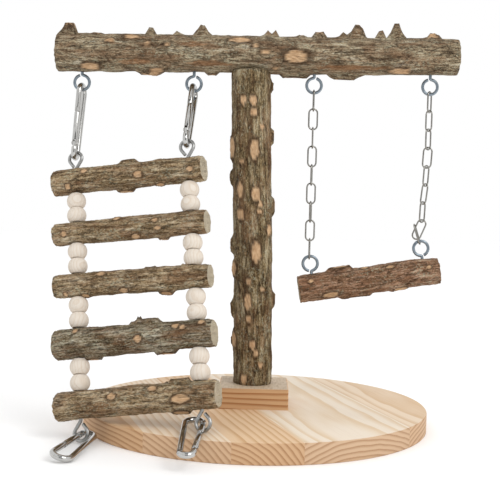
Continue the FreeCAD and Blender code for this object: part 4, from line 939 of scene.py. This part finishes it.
def ladder_wire(side):
    """Wire bent to a teardrop eye at both ends, each with its free end beside the straight part."""
    length, low = WIRE_LENGTHS[side], WIRE_LOOP_REACH - WIRE_LOOP
    opening = math.degrees(math.acos(WIRE_LOOP / low))
    touch = WIRE_LOOP * np.array((sine(opening), -cosine(opening)))
    apex = np.array((0, -low))
    near = touch * (-1, 1)
    start = apex + unit(near - apex) * LOOP_GAP
    middle = np.array((0, -WIRE_LOOP))
    wire = Wire(WIRE_RADIUS, start + middle, near - start)
    wire.run(*(near + middle)).bend(*middle, -(360 - 2 * opening))
    foot = np.array((0, -length + WIRE_LOOP))
    wire.corner(apex + middle, foot - apex, LOOP_CORNER)
    wire.corner(foot - apex, foot + touch * (-1, -1), LOOP_CORNER)
    wire.run(*(foot + touch * (-1, -1))).bend(*foot, 360 - 2 * opening)
    wire.run(*(foot - apex + unit(touch * (1, -1) + apex) * LOOP_GAP))
    front = np.cross(ACROSS, -LADDER_DOWN)
    made = copied(wire.done(), Spot(WIRE_TOPS[side], np.cross(-LADDER_DOWN, front), front))
    bpy.data.objects.remove(wire.thing)
    return piece(made, "ladder_wire_" + side, GALVANISED)


def model_bead():
    """Ball with two flat faces and a bore between them."""
    bpy.ops.mesh.primitive_uv_sphere_add(segments=48, ring_count=32, radius=BEAD_RADIUS * MM)
    bead = bpy.context.object
    editing(True)
    for end in (-1, 1):
        bpy.ops.mesh.select_all(action="SELECT")
        bpy.ops.mesh.bisect(plane_co=metres((0, 0, end * BEAD_HEIGHT / 2)), plane_no=(0, 0, end), use_fill=True,
                            clear_outer=True)
    pick("FACE", lambda face: len(face.verts) > 4)
    bpy.ops.mesh.inset(thickness=(BEAD_FACE - BEAD_BORE) * MM)
    bpy.ops.mesh.bridge_edge_loops()
    end_editing()
    keep_values(bead.data, "grain", "POINT", vertices_of(bead))
    return smoothed(bead)


def build_ladder():
    bead = model_bead()
    for side in ("left", "right"):
        ladder_wire(side)
        for number in range(1, BEADS_PER_WIRE + 1):
            name = "bead_%s_%d" % (side, number)
            turn = BEAD_TURN * number + (LEFT_TURN if side == "left" else 0)
            front = np.cross(ACROSS, -LADDER_DOWN)
            spot = Spot(pivot("wire_" + name), ACROSS * cosine(turn) + front * sine(turn), -LADDER_DOWN)
            piece(copied(bead, spot), name, BEECH)
    bpy.data.objects.remove(bead)


# ---- chains
# radii of a link's wire and its round ends, half its straight part, links in a chain, and an x between the chains
LINK_RADIUS, LINK_ARC, LINK_HALF, LINKS_PER_CHAIN, CHAINS_APART = 0.6, 3.1, 4.4, 9, 80


def link_spots(node):
    """Spots of the two links of a node: x along each link and z square to its plane."""
    places = np.unique(np.round(vertices_of(NODES[node]), 4), axis=0)
    for side in (places[:, 0] < CHAINS_APART, places[:, 0] >= CHAINS_APART):
        cloud = places[side]
        across, _, long = np.linalg.eigh(np.cov(cloud.T))[1].T
        turned = Spot((0, 0, 0), long, across)
        box = turned.local(cloud)
        yield Spot(turned.at((box.min(0) + box.max(0)) / 2), long, across)


def build_chains():
    wire = Wire(LINK_RADIUS, (-LINK_HALF, -LINK_ARC), (1, 0), sides=12, ring=True)
    wire.run(LINK_HALF, -LINK_ARC).bend(LINK_HALF, 0, 180).run(-LINK_HALF, LINK_ARC).bend(-LINK_HALF, 0, 180)
    link = wire.done()
    for number in range(1, LINKS_PER_CHAIN + 1):
        name = "chain_links_%d" % number
        piece(joined([copied(link, spot) for spot in link_spots(name)]), name, CHAIN)
    bpy.data.objects.remove(link)


def paint_cad_pieces():
    paints = {"base_block": BLOCK_WOOD, "post_screw": SCREW, "block_screws": SCREW, "beam_dowel_screw": SCREW}
    for name, paint in paints.items():
        NODES[name].data.materials.clear()
        NODES[name].data.materials.append(paint)


# ---- stage
# in metres: width of the floor, and the one lamp's place, aim and width, then its power in watts
FLOOR_WIDTH, LAMP_PLACE, LAMP_AIM, LAMP_WIDTH, LAMP_POWER = 8, (0.9, -1.0, 1.3), (0, 0, 0.12), 0.8, 9.0
# black cards that only reflections see: place, tilt in degrees and size
CARDS = {"front_card": ((0.1, -1.9, 0.6), 90, (2.8, 2.6, 1)), "top_card": ((0.1, -0.9, 1.9), 0, (2.0, 1.8, 1))}
# camera fitted to the photo's board and post: place, degrees of dip and roll, then lens and sideways shift
CAMERA_PLACE, CAMERA_DIP, CAMERA_ROLL = (0, -0.7329, 0.1613), 2.679, 1.5
SENSOR, LENS, SHIFT = 36, 72, -0.0186


def build_stage():
    """White floor and surroundings, a soft lamp from the right, and cards that give the metal its contrast."""
    bpy.ops.mesh.primitive_plane_add(size=FLOOR_WIDTH)
    floor = bpy.context.object
    floor.name = "floor"
    material, _, shader = new_material("pale_floor")
    join(material, shader, {"Base Color": (1, 1, 1, 1), "Roughness": 0.9})
    floor.data.materials.append(material)
    world = bpy.data.worlds.new("white_room")
    world.use_nodes = True
    light = world.node_tree.nodes["Background"].inputs
    light["Color"].default_value, light["Strength"].default_value = (1, 1, 1, 1), 1.0
    bpy.context.scene.world = world
    bpy.ops.object.light_add(type="AREA", location=LAMP_PLACE)
    key = bpy.context.object
    key.data.size, key.data.energy = LAMP_WIDTH, LAMP_POWER
    key.rotation_euler = (Vector(LAMP_AIM) - Vector(LAMP_PLACE)).to_track_quat("-Z", "Y").to_euler()
    material, _, shader = new_material("black_card")
    join(material, shader, {"Base Color": (0.01, 0.01, 0.01, 1), "Roughness": 1.0})
    for name, (place, tilt, size) in CARDS.items():
        bpy.ops.mesh.primitive_plane_add(size=1, location=place, rotation=(math.radians(tilt), 0, 0), scale=size)
        card = settled()
        card.name = name
        card.data.materials.append(material)
        for ray in ("visible_camera", "visible_diffuse", "visible_shadow", "visible_transmission"):
            setattr(card, ray, False)


def build_camera():
    bpy.ops.object.camera_add(location=CAMERA_PLACE)
    camera = bpy.context.object
    camera.data.sensor_width, camera.data.lens, camera.data.shift_x = SENSOR, LENS, SHIFT
    camera.matrix_world = (Matrix.Translation(camera.location)
                           @ Matrix.Rotation(math.radians(90 - CAMERA_DIP), 4, "X")
                           @ Matrix.Rotation(math.radians(CAMERA_ROLL), 4, "Z"))
    bpy.context.scene.camera = camera


bpy.ops.object.select_all(action="DESELECT")
build_board()
build_branches()
build_eyes()
build_hooks()
build_ladder()
build_chains()
paint_cad_pieces()
build_stage()
build_camera()
bpy.context.scene.view_settings.view_transform = "Standard"
